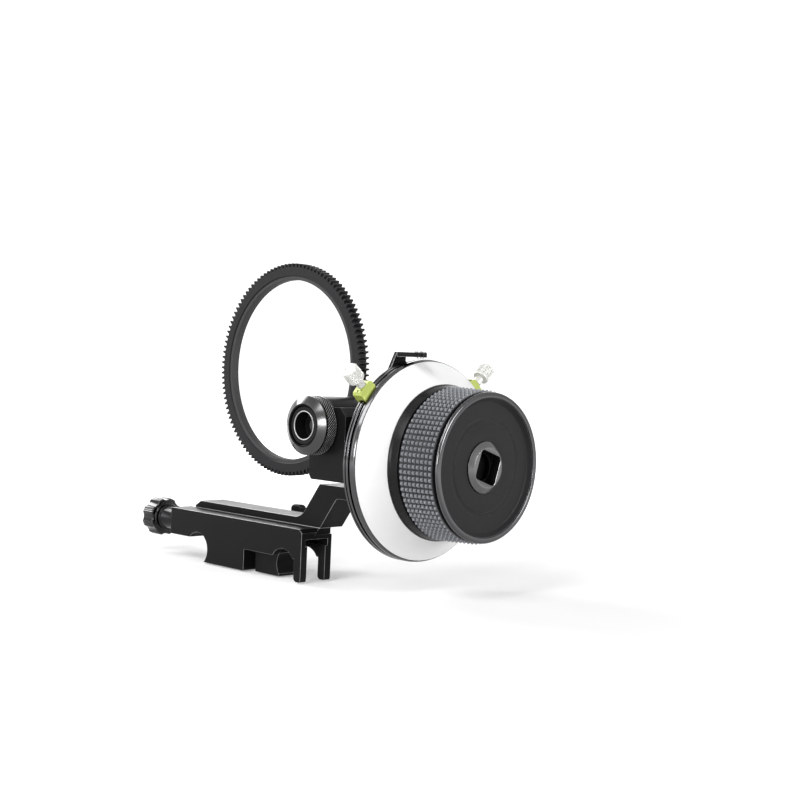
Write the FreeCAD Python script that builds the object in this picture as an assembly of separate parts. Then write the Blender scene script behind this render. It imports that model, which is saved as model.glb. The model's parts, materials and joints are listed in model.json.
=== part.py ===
import FreeCAD, Part

import math
import os

# Follow focus unit for a camera on two 15 mm support rods. Millimetres.
# Frame: origin midway between the rod axes at the middle of the rod clamp's depth,
# +X out to the hand wheel, +Y to the rear along the rods, +Z up.

# --- fits
running_gap = 0.05          # radial, a shaft in its bush
press_gap = 0.02            # radial, pieces pushed or screwed together
slide_gap = 0.1             # a slide in its slot
free_gap = 0.3              # pieces that pass each other
head_gap = 0.2              # round a sunk screw head
past = 1.0                  # how far a cutter runs on past the surface it leaves by

# --- support rods and the clamp that sits on them
rod_d = 15.0
rod_spacing = 60.0
rod_clearance = 0.1
clamp_depth = 17.3
clamp_top = 17.0
clamp_far_end = 20.8        # beyond the far rod's axis
clamp_near_end = 12.0       # beyond the near rod's axis
hook_depth = 5.6            # how far the fingers, the web and the jaw reach below the rod axes
block_bottom = 4.7
web_reach = 26.0            # from the near rod's axis back to the web
relief_height = 4.0
clamp_edge_chamfer = 1.6
toe_radius = 1.0
finger_toe_radius = 1.8

# --- sliding jaw in its T-slot, and the knob that drives it
slot_head_w = 12.8
slot_head_bottom = 9.5
slot_head_top = 12.5
slot_web_w = 10.3
jaw_l = 22.0
jaw_bite = 6.1              # how far the jaw's hollow comes round the rod
jaw_screw_r = 1.75
jaw_screw_z = 10.3
jaw_screw_short = 9.0       # the screw's end is short of the near rod's axis
clamp_bush_r = 3.6
clamp_bush_l = 9.0
knob_l = 8.0
knob_r = 9.0
knob_edge = 0.8
knob_lobes = 8
scallop_r = 3.8
scallop_depth = 1.4
knob_neck_l = 14.1
knob_neck_r = 6.2
knob_neck_end_r = 4.7
neck_collar_l = 1.2
neck_collar_step = 0.7
neck_foot_l = 2.4
neck_foot_step = 0.6
neck_wall = 4.0             # solid end of the neck behind the knob
circlip_r = 2.9
circlip_t = 1.0

# --- arm that slides on the clamp and carries the gearbox
arm_front = 2.2
arm_width = 13.2
arm_left = -46.6
arm_low_h = 3.4
arm_slope_foot = 28.7       # where the top of the low bar turns up
arm_slope_deg = 54.3
arm_high_bottom = 30.6
arm_high_top = 36.0
arm_slope_t = 12.1
arm_inner_fillet = 8.0
arm_under_fillet = 2.0
arm_nose_run = 4.1
arm_nose_drop = 2.5
arm_pad_left = 56.5
tongue_depth = 2.5
tongue_flare = 3.2
arm_travel = 20.0

# --- socket screws: small ones throughout, two large ones under the arm
screw_r = 1.2
screw_head_r = 2.2
screw_head_l = 1.4
screw_grip = 4.0            # thread in the piece that the screw goes into
screw_seat = 1.1            # thickness left under a sunk head
screw_socket_ratio = 0.45
arm_screw_r = 2.0
arm_screw_head_r = 3.5
arm_screw_head_l = 3.0
arm_screw_grip = 7.0
arm_screw_seat = 3.2
arm_screw_pitch = 8.0
arm_screw_shift = 0.4

# --- guide under the arm's overhang, and the lever that locks it
guide_left = -29.0
guide_right = 26.0
guide_bottom = 8.0          # clears the rods that it slides over
guide_screw_inset = 3.4
guide_screw_seat = 3.0
guide_screw_grip = 2.2
lever_z = 11.6
stud_r = 2.0
stud_seat = 4.2             # depth of the stud's blind hole behind the clamp's rear face
lever_hub_r = 5.2
lever_hub_l = 7.0
lever_hub_dome = 1.5
lever_hub_wall = 2.0
lever_reach = 10.4
lever_grip_l = 6.0          # the upright end that a finger pushes
lever_w = 6.4
lever_t = 3.6
lever_foot = 1.6            # where the handle leaves the hub
lever_rise = 1.0
lever_stand_off = 8.6
lever_corner = 1.4
lever_bend_r = 2.0
lever_edge_r = 1.0

# --- gearbox
lens_axis_z = 84.1
drive_axis_z = 62.02
drive_module = 0.8
ring_teeth = 119
drive_teeth = 28
gear_thinning = 0.16
gear_root = 1.2             # depth of a tooth below the pitch circle, in modules
pressure_deg = 20.0
housing_front = -13.3
housing_back = 38.0
housing_left = 49.8
housing_rear_left = 44.5
housing_right = 70.9
housing_bottom = 39.6
housing_shoulder_z = 70.0
housing_shoulder_cut = 3.4
housing_shoulder_r = 1.0
barrel_r = 12.1
foot_chamfer = 1.6
foot_rise = 2.1
ring_relief = 0.5
drive_gear_front = 15.1
drive_gear_w = 4.5
window_gap = 0.4            # round the drive gear in its window
drive_shaft_r = 3.0
drive_bush_r = 4.6
front_bush_l = 12.0
cross_module = 0.8
cross_helix_deg = 45.0
wheel_cross_teeth = 10
drive_cross_teeth = 14
cross_w = 8.0
cross_sections = 9
cross_gap = 0.36
cross_bush_gap = 4.0        # between the wheel's cross gear and the outer bush
mid_wall_t = 2.7
cover_t = 2.5
cover_inset = 0.6
cover_corner_r = 2.0
cover_skin = 1.2            # cover left behind the rear bush
cover_plug_l = 6.4
cover_screw_inset = 4.2
cover_screw_rise = 8.8
cover_screw_lift = 4.5
side_cap_t = 2.2
side_cap_r = 9.6
side_cap_skin = 1.0
side_plug_l = 3.4
inner_bush_t = 1.2

# --- output socket at the front of the gearbox and its knurled lock ring
collar_l = 8.2
collar_r = 12.2
collar_cone_l = 1.9
collar_nose_r = 9.0
collar_land = 0.9
collar_line_w = 1.0
collar_line_depth = 0.5
collar_edge = 0.4
collar_flutes = 48
flute_r = 0.5
flute_depth = 0.25
flute_margin = 1.0
socket_r = 7.9
socket_bore_r = 5.6
socket_inset = 0.5
socket_web = 1.6
socket_edge = 0.5

# --- lens gear ring and its liner
ring_front = 15.8
ring_w = 5.0
ring_wall = 4.04            # between the root of the teeth and the bore
liner_t = 1.7
liner_inset = 0.5

# --- hand wheel
wheel_y = 27.05
wheel_shaft_r = 4.0
wheel_shaft_collar = 1.4
wheel_bush_r = 6.2
plate_gap = 1.9             # between the gearbox and the wheel's rim
plate_r = 42.8
rim_w = 6.2
rim_t = 5.0
rim_edge = 0.35
rim_line_at = 1.1
rim_line_w = 0.6
rim_line_depth = 0.8
rim_groove_at = 2.9
rim_groove_w = 1.1
rim_groove_depth = 1.8
rim_chamfer_w = 1.1
rim_chamfer_h = 0.5
plate_web = 3.2
hub_r = 12.0
disc_inset = 0.3
cone_h = 9.0
cone_front_r = 32.7
cone_t = 2.4
disc_seat_t = 2.0
disc_lip_l = 1.4
disc_seat_wall = 3.8
magnet_r = 2.5
magnet_l = 2.0
magnet_circle_r = 37.0
magnet_count = 3
hub_screw_circle_r = 8.2
hub_screw_count = 4
hub_screw_grip = 7.0
hub_screw_head_l = 2.0
flange_r = 32.8
flange_w = 4.4
flange_edge = 0.3
flange_rim_w = 0.8
flange_bevel_w = 0.7
flange_bevel_h = 0.5
flange_taper = 1.3
flange_neck_l = 1.0
flange_neck_depth = 2.3
flange_floor_t = 3.6
grip_r = 32.2               # over the ridges at the flange
grip_taper = 0.7
grip_l = 17.2
grip_rings = 8
grip_depth = 1.1
grip_wall = 2.9
tube_wall = 2.4
cap_neck_l = 1.6
cap_neck_depth = 1.2
cap_inset = 1.4             # cap's rim below the grip's ridges
cap_rim_l = 1.45
cap_edge = 0.5
cap_lip = 2.4
cap_recess = 2.2
cap_slope = 1.8
cap_plate_t = 2.8
cap_ring_r = 20.3
cap_ring_w = 1.8
cap_ring_depth = 0.3

# --- socket for a crank at the middle of the wheel
boss_r = 10.6
boss_sleeve_step = 1.0
boss_seat = 0.5
boss_side = 0.35
boss_proud = 1.75
boss_chamfer = 2.2
crank_square = 12.4
crank_corner_r = 1.6
crank_square_deg = 18.0
crank_depth = 4.4
crank_bore_r = 6.0
crank_bore_depth = 2.6
shaft_cover = 1.0           # between the bore's floor and the wheel shaft's end

# --- adjustable stops on the wheel's rim
stop_a_deg = 49.3
stop_b_deg = -45.7
stop_w = 8.2
stop_h = 4.1
stop_corner = 1.3
stop_leg_t = 1.0
stop_leg_h = 1.6
stop_foot_h = 0.9
stop_slit_h = 0.8
stop_slit_depth = 0.8
stop_slit_z = 1.8           # height of the slit in each end, above the block's underside
stop_slit_end = 0.5
stop_wall_t = 1.1           # raised edge of the block on its outer side
stop_wall_h = 0.4
stop_screw_at = 3.3
stop_screw_r = 1.2
stop_neck_r = 1.9
stop_neck_l = 3.5
stop_head_r = 3.6
stop_head_l = 6.4
stop_head_edge = 0.6
stop_pin_r = 0.6
stop_pin_depth = 1.2
stop_pin_side = 2.4
stop_pin_left = 1.0

# --- index bracket over the rim
index_t = 1.6
index_foot_front = 4.0
index_foot_back = 18.4
index_foot_z = 58.0
index_foot_h = 16.0
index_foot_r = 2.0
index_tip_front = 13.0
index_gap = 0.65            # between the rim and the bar
index_bar_t = 2.0
index_bar_l = 12.5
index_shoulder = 6.0
index_shoulder_run = 4.0
index_screw_inset = 4.0
index_screw_seat = 0.6
index_screw_grip = 3.0
index_head_l = 0.8
index_nut_r = 2.5
index_nut_t = 0.6
index_pin_r = 1.5
index_pin_drop = 0.6

# --- worked out from the values above
arm_back = arm_front + arm_width
arm_mid_y = (arm_front + arm_back) / 2
clamp_half = clamp_depth / 2
rod_x = rod_spacing / 2
clamp_left = -rod_x - clamp_far_end
clamp_right = rod_x + clamp_near_end
web_right = rod_x - web_reach
jaw_left = rod_x - jaw_l
jaw_screw_end = rod_x - jaw_screw_short
seat_r = rod_d / 2 + rod_clearance
guide_mid_y = (clamp_half + arm_back) / 2
neck_right = clamp_left - free_gap
neck_left = neck_right - knob_neck_l
knob_left = neck_left - knob_l - knob_edge
lever_front = arm_back + free_gap
ring_pitch_r = ring_teeth * drive_module / 2
drive_pitch_r = drive_teeth * drive_module / 2
drive_x = math.sqrt((ring_pitch_r + drive_pitch_r) ** 2 - (lens_axis_z - drive_axis_z) ** 2)
ring_bore_r = ring_pitch_r - gear_root * drive_module - ring_wall
ring_back = ring_front + ring_w
drive_gear_back = drive_gear_front + drive_gear_w
window_front = drive_gear_front - window_gap
window_back = drive_gear_back + window_gap
cross_cos = math.cos(math.radians(cross_helix_deg))
wheel_cross_r = wheel_cross_teeth * cross_module / cross_cos / 2
drive_cross_r = drive_cross_teeth * cross_module / cross_cos / 2
wheel_z = drive_axis_z - wheel_cross_r - drive_cross_r
wheel_cavity_r = wheel_cross_r + cross_module + cross_gap
drive_cavity_r = drive_cross_r + cross_module + cross_gap
mid_wall_back = window_back + mid_wall_t
cover_back = housing_back + cover_t
plug_front = housing_back - cover_plug_l
inner_bush_r = wheel_shaft_r + inner_bush_t
collar_back = housing_front - free_gap
collar_front = collar_back - collar_l
socket_front = collar_front + socket_inset
outer_bush_left = drive_x + cross_w / 2 + cross_bush_gap
plate_back = housing_right + plate_gap
plate_front = plate_back + rim_w
groove_back = plate_back + rim_groove_at
groove_front = groove_back + rim_groove_w
cone_front = plate_front + cone_h
flange_front = cone_front + flange_w
grip_back = flange_front + flange_neck_l
grip_front = grip_back + grip_l
grip_seat_r = grip_r - grip_taper - grip_depth - grip_wall
tube_bore_r = grip_seat_r - tube_wall
cap_r = grip_r - cap_inset
cap_front = grip_front + cap_neck_l + cap_rim_l
cap_floor = cap_front - cap_recess
boss_face = cap_floor + boss_proud
sleeve_r = boss_r - boss_sleeve_step
bore_floor = boss_face - crank_depth - crank_bore_depth
shaft_end = bore_floor - shaft_cover
stop_left = plate_back - free_gap - stop_leg_t
stop_right = groove_front - free_gap
stop_inner_r = plate_r + free_gap
stop_top_r = stop_inner_r + stop_h
stop_screw_x = stop_left + stop_screw_at
index_bar_bottom = wheel_z + plate_r + index_gap
index_bar_top = index_bar_bottom + index_bar_t
index_end_x = housing_right + index_bar_l
index_mid_y = (index_tip_front + index_foot_back) / 2


def vec(x, y, z):
    return FreeCAD.Vector(x, y, z)


def box(x0, x1, y0, y1, z0, z1):
    return Part.makeBox(x1 - x0, y1 - y0, z1 - z0, vec(x0, y0, z0))


def rod_x_dir(x0, x1, y, z, r):
    return Part.makeCylinder(r, x1 - x0, vec(x0, y, z), vec(1, 0, 0))


def rod_y_dir(y0, y1, x, z, r):
    return Part.makeCylinder(r, y1 - y0, vec(x, y0, z), vec(0, 1, 0))


def rod_z_dir(z0, z1, x, y, r):
    return Part.makeCylinder(r, z1 - z0, vec(x, y, z0), vec(0, 0, 1))


def rounded_wire(corners):
    """Closed wire through 3-D corners, each (point, radius); a radius rounds its corner."""
    count = len(corners)
    ends = []
    for i, (point, radius) in enumerate(corners):
        before = (corners[i - 1][0] - point).normalize()
        after = (corners[(i + 1) % count][0] - point).normalize()
        if radius == 0:
            ends.append((point, None, point))
            continue
        half = before.getAngle(after) / 2
        reach = radius / math.tan(half)
        middle = (before + after).normalize()
        centre = point + middle * (radius / math.sin(half))
        ends.append((point + before * reach, centre - middle * radius, point + after * reach))
    edges = []
    for i, (start, bulge, end) in enumerate(ends):
        if bulge is not None:
            edges.append(Part.Arc(start, bulge, end).toShape())
        following = ends[(i + 1) % count][0]
        if end.distanceToPoint(following) > 1e-6:
            edges.append(Part.makeLine(end, following))
    return Part.Wire(edges)


def prism_y(corners, y0, y1):
    """Solid between y0 and y1 from corners (x, z) or (x, z, radius)."""
    wire = rounded_wire([(vec(c[0], y0, c[1]), c[2] if len(c) > 2 else 0) for c in corners])
    return Part.Face(wire).extrude(vec(0, y1 - y0, 0))


def prism_x(corners, x0, x1):
    """Solid between x0 and x1 from corners (y, z) or (y, z, radius)."""
    wire = rounded_wire([(vec(x0, c[0], c[1]), c[2] if len(c) > 2 else 0) for c in corners])
    return Part.Face(wire).extrude(vec(x1 - x0, 0, 0))


def turned_x(profile, y, z):
    """Solid of revolution about the line along X at (y, z) from (x, radius) points."""
    wire = Part.makePolygon([vec(x, y, z + r) for x, r in profile + profile[:1]])
    return Part.Face(wire).revolve(vec(0, y, z), vec(1, 0, 0), 360)


def turned_y(profile, x, z):
    """Solid of revolution about the line along Y at (x, z) from (y, radius) points."""
    wire = Part.makePolygon([vec(x, y, z + r) for y, r in profile + profile[:1]])
    return Part.Face(wire).revolve(vec(x, 0, z), vec(0, 1, 0), 360)


def turned_z(profile, x, y):
    """Solid of revolution about the line along Z at (x, y) from (z, radius) points."""
    wire = Part.makePolygon([vec(x + r, y, z) for z, r in profile + profile[:1]])
    return Part.Face(wire).revolve(vec(x, y, 0), vec(0, 0, 1), 360)


def ring_of(shape, count, centre, axis, first=0.0):
    """Copies of a shape spaced evenly round an axis."""
    copies = []
    for i in range(count):
        copy = shape.copy()
        copy.rotate(centre, axis, first + 360.0 * i / count)
        copies.append(copy)
    return copies


def screw(rod, tip, seat, top, a, b, r=screw_r, head_r=screw_head_r):
    """Socket screw; rod is the cylinder of its direction, seat is where the head begins."""
    middle = (seat + top) / 2
    shank = rod(min(tip, seat), max(tip, seat), a, b, r)
    head = rod(min(seat, top), max(seat, top), a, b, head_r)
    socket = rod(min(middle, top), max(middle, top), a, b, head_r * screw_socket_ratio)
    return shank.fuse(head).cut(socket)


def export(name, shape):
    if shape.ShapeType == "Compound" and len(shape.Solids) == 1:
        shape = shape.Solids[0]
    shape.exportStep("parts/" + name + ".step")
    print(name, len(shape.Solids), round(shape.Volume, 1), shape.isValid())


# --- gear teeth


def tooth_flank(r_pitch, teeth, pressure, thinning, radii):
    """(radius, half angle) pairs of an involute flank, from the root out."""
    r_base = r_pitch * math.cos(pressure)
    at_pitch = math.pi / (2 * teeth) - thinning / (2 * r_pitch)
    inv_pitch = math.tan(pressure) - pressure
    flank = []
    for r in radii:
        roll = math.acos(min(1.0, r_base / r))
        flank.append((r, at_pitch + inv_pitch - (math.tan(roll) - roll)))
    return flank


def toothed_outline(teeth, r_pitch, module, pressure, phase, steps=3):
    """(u, v) points round a gear; a tooth is centred at the angle phase."""
    tip = r_pitch + module
    root = r_pitch - gear_root * module
    start = max(root, r_pitch * math.cos(pressure))
    radii = [start + (tip - start) * i / (steps - 1) for i in range(steps)]
    flank = tooth_flank(r_pitch, teeth, pressure, gear_thinning, radii)
    if start > root:
        flank.insert(0, (root, flank[0][1]))
    points = []
    for i in range(teeth):
        middle = phase + 2 * math.pi * i / teeth
        for r, half in flank:
            points.append((r * math.cos(middle - half), r * math.sin(middle - half)))
        for r, half in reversed(flank):
            points.append((r * math.cos(middle + half), r * math.sin(middle + half)))
    return points


def placed(point, along, axis, centre):
    """Outline point (u, v) at a distance along a gear's axis; u runs on to v by its positive turn."""
    u, v = point
    if axis == "x":
        return centre + vec(along, u, v)
    return centre + vec(v, along, u)


def spur_blank(outline, y0, y1, x, z):
    centre = vec(x, 0, z)
    loop = [placed(p, y0, "y", centre) for p in outline]
    face = Part.Face(Part.makePolygon(loop + loop[:1]))
    return face.extrude(vec(0, y1 - y0, 0))


def triangle(a, b, c):
    return Part.Face(Part.makePolygon([a, b, c, a]))


def helical_blank(teeth, axis, centre, phase):
    """Left-handed helical gear, its middle at centre, with flanks of flat triangles between sections."""
    r_pitch = teeth * cross_module / cross_cos / 2
    transverse = math.atan(math.tan(math.radians(pressure_deg)) / cross_cos)
    outline = toothed_outline(teeth, r_pitch, cross_module, transverse, phase, 2)
    loops = []
    for i in range(cross_sections):
        along = cross_w * (i / (cross_sections - 1) - 0.5)
        turn = -along * math.tan(math.radians(cross_helix_deg)) / r_pitch
        spin_c = math.cos(turn)
        spin_s = math.sin(turn)
        loops.append([placed((u * spin_c - v * spin_s, u * spin_s + v * spin_c), along, axis, centre)
                      for u, v in outline])
    faces = [Part.Face(Part.makePolygon(loop + loop[:1])) for loop in (loops[0], loops[-1])]
    for near, far in zip(loops, loops[1:]):
        for i, corner in enumerate(near):
            faces.append(triangle(corner, near[i - 1], far[i - 1]))
            faces.append(triangle(corner, far[i - 1], far[i]))
    return Part.makeSolid(Part.makeShell(faces))


# --- rod clamp


def clamp_outline():
    half = math.sqrt(seat_r ** 2 - hook_depth ** 2)
    return [
        (clamp_left, clamp_top, toe_radius),
        (clamp_left, block_bottom, toe_radius),
        (-rod_x - math.sqrt(seat_r ** 2 - block_bottom ** 2), block_bottom),
        (-rod_x, block_bottom),
        (-rod_x, -hook_depth),
        (-rod_x + half, -hook_depth),
        (web_right, -hook_depth, toe_radius),
        (web_right, relief_height),
        (rod_x + seat_r, relief_height),
        (rod_x + seat_r, -hook_depth, finger_toe_radius),
        (clamp_right, -hook_depth, toe_radius),
        (clamp_right, clamp_top - clamp_edge_chamfer),
        (clamp_right - clamp_edge_chamfer, clamp_top),
    ]


def dovetail(front, x0, x1, floor):
    """Bar with a flared front flank, from the clamp's top down to floor."""
    back = clamp_half + past
    flare = tongue_flare * (clamp_top - floor) / tongue_depth
    return prism_x([(front, clamp_top), (front - flare, floor), (back, floor), (back, clamp_top)], x0, x1)


def clamp_body():
    body = prism_y(clamp_outline(), -clamp_half, clamp_half)
    for x in (-rod_x, rod_x):
        body = body.cut(rod_y_dir(-clamp_depth, clamp_depth, x, 0, seat_r))
    head = slot_head_w / 2
    web = slot_web_w / 2
    right = clamp_right + past
    left = clamp_left - past
    body = body.cut(box(web_right, right, -head, head, slot_head_bottom, slot_head_top))
    body = body.cut(box(web_right, right, -web, web, -rod_d, slot_head_bottom))
    body = body.cut(dovetail(arm_front - slide_gap, left, right, clamp_top - tongue_depth - slide_gap))
    body = body.cut(rod_x_dir(left, web_right + past, 0, jaw_screw_z, jaw_screw_r + running_gap))
    body = body.cut(rod_x_dir(left, clamp_left + clamp_bush_l, 0, jaw_screw_z, clamp_bush_r))
    clip_pocket = web_right - circlip_t - 2 * free_gap
    body = body.cut(rod_x_dir(clip_pocket, web_right + past, 0, jaw_screw_z, circlip_r + free_gap))
    return body.cut(rod_y_dir(clamp_half - stud_seat, clamp_half + past, 0, lever_z, stud_r + running_gap))


def clamp_bush():
    end = clamp_left + clamp_bush_l
    bush = rod_x_dir(clamp_left, end, 0, jaw_screw_z, clamp_bush_r - press_gap)
    return bush.cut(rod_x_dir(clamp_left - past, end + past, 0, jaw_screw_z, jaw_screw_r + running_gap))


def sliding_jaw():
    head = slot_head_w / 2 - slide_gap
    web = slot_web_w / 2 - slide_gap
    top = slot_head_top - slide_gap
    jaw = box(jaw_left, rod_x, -head, head, slot_head_bottom + slide_gap, top)
    jaw = jaw.fuse(box(jaw_left, rod_x, -web, web, -hook_depth, top))
    jaw = jaw.cut(rod_y_dir(-clamp_depth, clamp_depth, rod_x, 0, seat_r))
    jaw = jaw.cut(box(rod_x - jaw_bite, rod_x + past, -clamp_depth, clamp_depth, -rod_d, clamp_top))
    return jaw.cut(rod_x_dir(0, rod_x, 0, jaw_screw_z, jaw_screw_r + running_gap)).removeSplitter()


def knob_head():
    right = knob_left + knob_l
    boss = knob_neck_r + knob_edge
    profile = [
        (knob_left, 0), (knob_left, knob_r - knob_edge), (knob_left + knob_edge, knob_r),
        (right - knob_edge, knob_r), (right, knob_r - knob_edge), (right, boss), (neck_left, boss),
        (neck_left, 0),
    ]
    head = turned_x(profile, 0, jaw_screw_z)
    middle = jaw_screw_z + knob_r + scallop_r - scallop_depth
    scallop = rod_x_dir(knob_left - past, right - knob_edge, 0, middle, scallop_r)
    cutters = ring_of(scallop, knob_lobes, vec(0, 0, jaw_screw_z), vec(1, 0, 0))
    return head.cut(Part.makeCompound(cutters))


def knob_neck():
    waist = neck_left + neck_collar_l
    profile = [
        (neck_left, 0), (neck_left, knob_neck_r), (waist, knob_neck_r),
        (waist + neck_collar_step, knob_neck_r - neck_collar_step),
        (neck_right - neck_foot_l, knob_neck_end_r), (neck_right, knob_neck_end_r + neck_foot_step),
        (neck_right, 0),
    ]
    neck = turned_x(profile, 0, jaw_screw_z)
    return neck.cut(rod_x_dir(neck_left + neck_wall, neck_right + past, 0, jaw_screw_z, jaw_screw_r))


def clamp_screw():
    return rod_x_dir(neck_left + neck_wall, jaw_screw_end, 0, jaw_screw_z, jaw_screw_r)


def screw_circlip():
    back = web_right - circlip_t - free_gap
    ring = rod_x_dir(back, back + circlip_t, 0, jaw_screw_z, circlip_r)
    return ring.cut(rod_x_dir(back - past, web_right, 0, jaw_screw_z, jaw_screw_r))


# --- arm, guide and lock lever


def support_arm():
    slope = math.tan(math.radians(arm_slope_deg))
    low_top = clamp_top + arm_low_h
    high_corner = arm_slope_foot + (arm_high_top - low_top) / slope
    shift = arm_slope_t / math.sin(math.radians(arm_slope_deg))
    under_corner = high_corner - (arm_high_top - arm_high_bottom) / slope + shift
    toe = under_corner - (arm_high_bottom - clamp_top) / slope
    profile = [
        (arm_left, clamp_top),
        (arm_left, low_top - arm_nose_drop),
        (arm_left + arm_nose_run, low_top),
        (arm_slope_foot, low_top, arm_inner_fillet),
        (high_corner, arm_high_top),
        (arm_pad_left, arm_high_top),
        (arm_pad_left, housing_bottom),
        (housing_right, housing_bottom),
        (housing_right, arm_high_bottom),
        (under_corner, arm_high_bottom, arm_under_fillet),
        (toe, clamp_top),
    ]
    arm = prism_y(profile, arm_front, arm_back)
    tongue = dovetail(arm_front, arm_left, toe, clamp_top - tongue_depth)
    arm = arm.fuse(tongue.common(box(arm_left, toe, -clamp_depth, clamp_half, 0, clamp_top)))
    for x in arm_screw_places():
        seat = arm_high_bottom + arm_screw_seat
        arm = arm.cut(rod_z_dir(seat, housing_bottom + past, x, arm_mid_y, arm_screw_r + slide_gap))
        arm = arm.cut(rod_z_dir(0, seat, x, arm_mid_y, arm_screw_head_r + head_gap))
    for x in guide_screw_places():
        arm = arm.cut(rod_z_dir(clamp_top, clamp_top + guide_screw_grip + head_gap, x, guide_mid_y,
                                screw_r + running_gap))
    return arm.removeSplitter()


def arm_screw_places():
    middle = (arm_pad_left + housing_right) / 2 + arm_screw_shift
    return (middle - arm_screw_pitch / 2, middle + arm_screw_pitch / 2)


def arm_screws():
    seat = arm_high_bottom + arm_screw_seat
    tip = housing_bottom + arm_screw_grip
    return Part.makeCompound([
        screw(rod_z_dir, tip, seat, seat - arm_screw_head_l, x, arm_mid_y, arm_screw_r, arm_screw_head_r)
        for x in arm_screw_places()])


def slide_guide():
    guide = box(guide_left, guide_right, clamp_half + free_gap, arm_back, guide_bottom, clamp_top)
    half = stud_r + free_gap
    guide = guide.cut(box(-arm_travel - half, half, 0, arm_back + past, lever_z - half, lever_z + half))
    seat = guide_bottom + guide_screw_seat
    for x in guide_screw_places():
        guide = guide.cut(rod_z_dir(guide_bottom, clamp_top, x, guide_mid_y, screw_r + slide_gap))
        guide = guide.cut(rod_z_dir(guide_bottom - past, seat, x, guide_mid_y, screw_head_r + head_gap))
    return guide


def guide_screw_places():
    return (guide_left + guide_screw_inset, guide_right - guide_screw_inset)


def guide_screws():
    seat = guide_bottom + guide_screw_seat
    tip = clamp_top + guide_screw_grip
    return Part.makeCompound([
        screw(rod_z_dir, tip, seat, seat - screw_head_l, x, guide_mid_y) for x in guide_screw_places()])


def lever_stud():
    front = clamp_half - stud_seat + free_gap
    return rod_y_dir(front, lever_front + lever_hub_l - lever_hub_wall, 0, lever_z, stud_r)


def lock_lever():
    hub_back = lever_front + lever_hub_l
    hub = turned_y([
        (lever_front, 0), (lever_front, lever_hub_r), (hub_back - lever_hub_dome, lever_hub_r),
        (hub_back, lever_hub_r - lever_hub_dome), (hub_back, 0),
    ], 0, lever_z)
    lever = hub.fuse(lever_handle())
    bore = rod_y_dir(lever_front - past, hub_back - lever_hub_wall, 0, lever_z, stud_r)
    return lever.cut(bore).removeSplitter()


def lever_handle():
    near = lever_front + lever_foot
    far = lever_front + lever_stand_off
    bottom = lever_z + lever_rise
    top = lever_z + lever_reach
    back = far + lever_t
    corners = [
        (near, bottom), (near + lever_t, bottom), (back, top - lever_grip_l, lever_bend_r),
        (back, top, lever_edge_r), (far, top, lever_edge_r), (far, top - lever_grip_l, lever_bend_r),
    ]
    half = lever_w / 2
    handle = prism_x(corners, -half, half)
    front_view = [
        (-half, bottom), (half, bottom), (half, top - lever_corner), (half - lever_corner, top),
        (-half + lever_corner, top), (-half, top - lever_corner),
    ]
    return handle.common(prism_y(front_view, near, back))


# --- gearbox


def housing_outline(left):
    shoulder_x = housing_right - housing_shoulder_cut
    return [
        (left, housing_bottom + foot_rise),
        (left + foot_chamfer, housing_bottom),
        (housing_right, housing_bottom),
        (housing_right, housing_shoulder_z - housing_shoulder_cut),
        (shoulder_x, housing_shoulder_z, housing_shoulder_r),
        (drive_x, housing_shoulder_z),
        (drive_x, drive_axis_z),
        (left, drive_axis_z),
    ]


def gearbox_housing():
    body = prism_y(housing_outline(housing_left), housing_front, mid_wall_back)
    rear = prism_y(housing_outline(housing_rear_left), window_back, housing_back)
    barrel = rod_y_dir(housing_front, housing_back, drive_x, drive_axis_z, barrel_r)
    body = body.multiFuse([rear, barrel])
    body = body.cut(drive_space())
    body = body.cut(rod_x_dir(0, outer_bush_left, wheel_y, wheel_z, wheel_cavity_r))
    body = body.cut(rod_x_dir(0, housing_right + past, wheel_y, wheel_z, wheel_bush_r))
    for x in arm_screw_places():
        top = housing_bottom + arm_screw_grip + past
        body = body.cut(rod_z_dir(housing_bottom - past, top, x, arm_mid_y, arm_screw_r + running_gap))
    for x, z in cover_screw_places():
        tip = housing_back - screw_grip - past
        body = body.cut(rod_y_dir(tip, housing_back + past, x, z, screw_r + running_gap))
    for y, z in index_screw_places():
        tip = housing_right - index_screw_grip - head_gap
        body = body.cut(rod_x_dir(tip, housing_right + past, y, z, screw_r + running_gap))
    return body.removeSplitter()


def drive_space():
    """Bore, gear window and cross gear cavity along the drive shaft, with the relief for the lens ring."""
    relief_r = ring_pitch_r + drive_module + ring_relief
    window_r = drive_pitch_r + drive_module + window_gap
    relief = rod_y_dir(ring_front - ring_relief, ring_back + ring_relief, 0, lens_axis_z, relief_r)
    window = rod_y_dir(window_front, window_back, drive_x, drive_axis_z, window_r)
    bore = rod_y_dir(housing_front - past, mid_wall_back + past, drive_x, drive_axis_z, drive_bush_r)
    cavity = rod_y_dir(mid_wall_back, housing_back + past, drive_x, drive_axis_z, drive_cavity_r)
    return relief.multiFuse([window, bore, cavity])


def cover_screw_places():
    left = housing_rear_left + cover_screw_inset
    right = housing_right - cover_screw_inset
    low = housing_bottom + cover_screw_inset
    high = drive_axis_z + cover_screw_lift
    return ((left, low), (right, low), (right, high), (left, low + cover_screw_rise))


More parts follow.
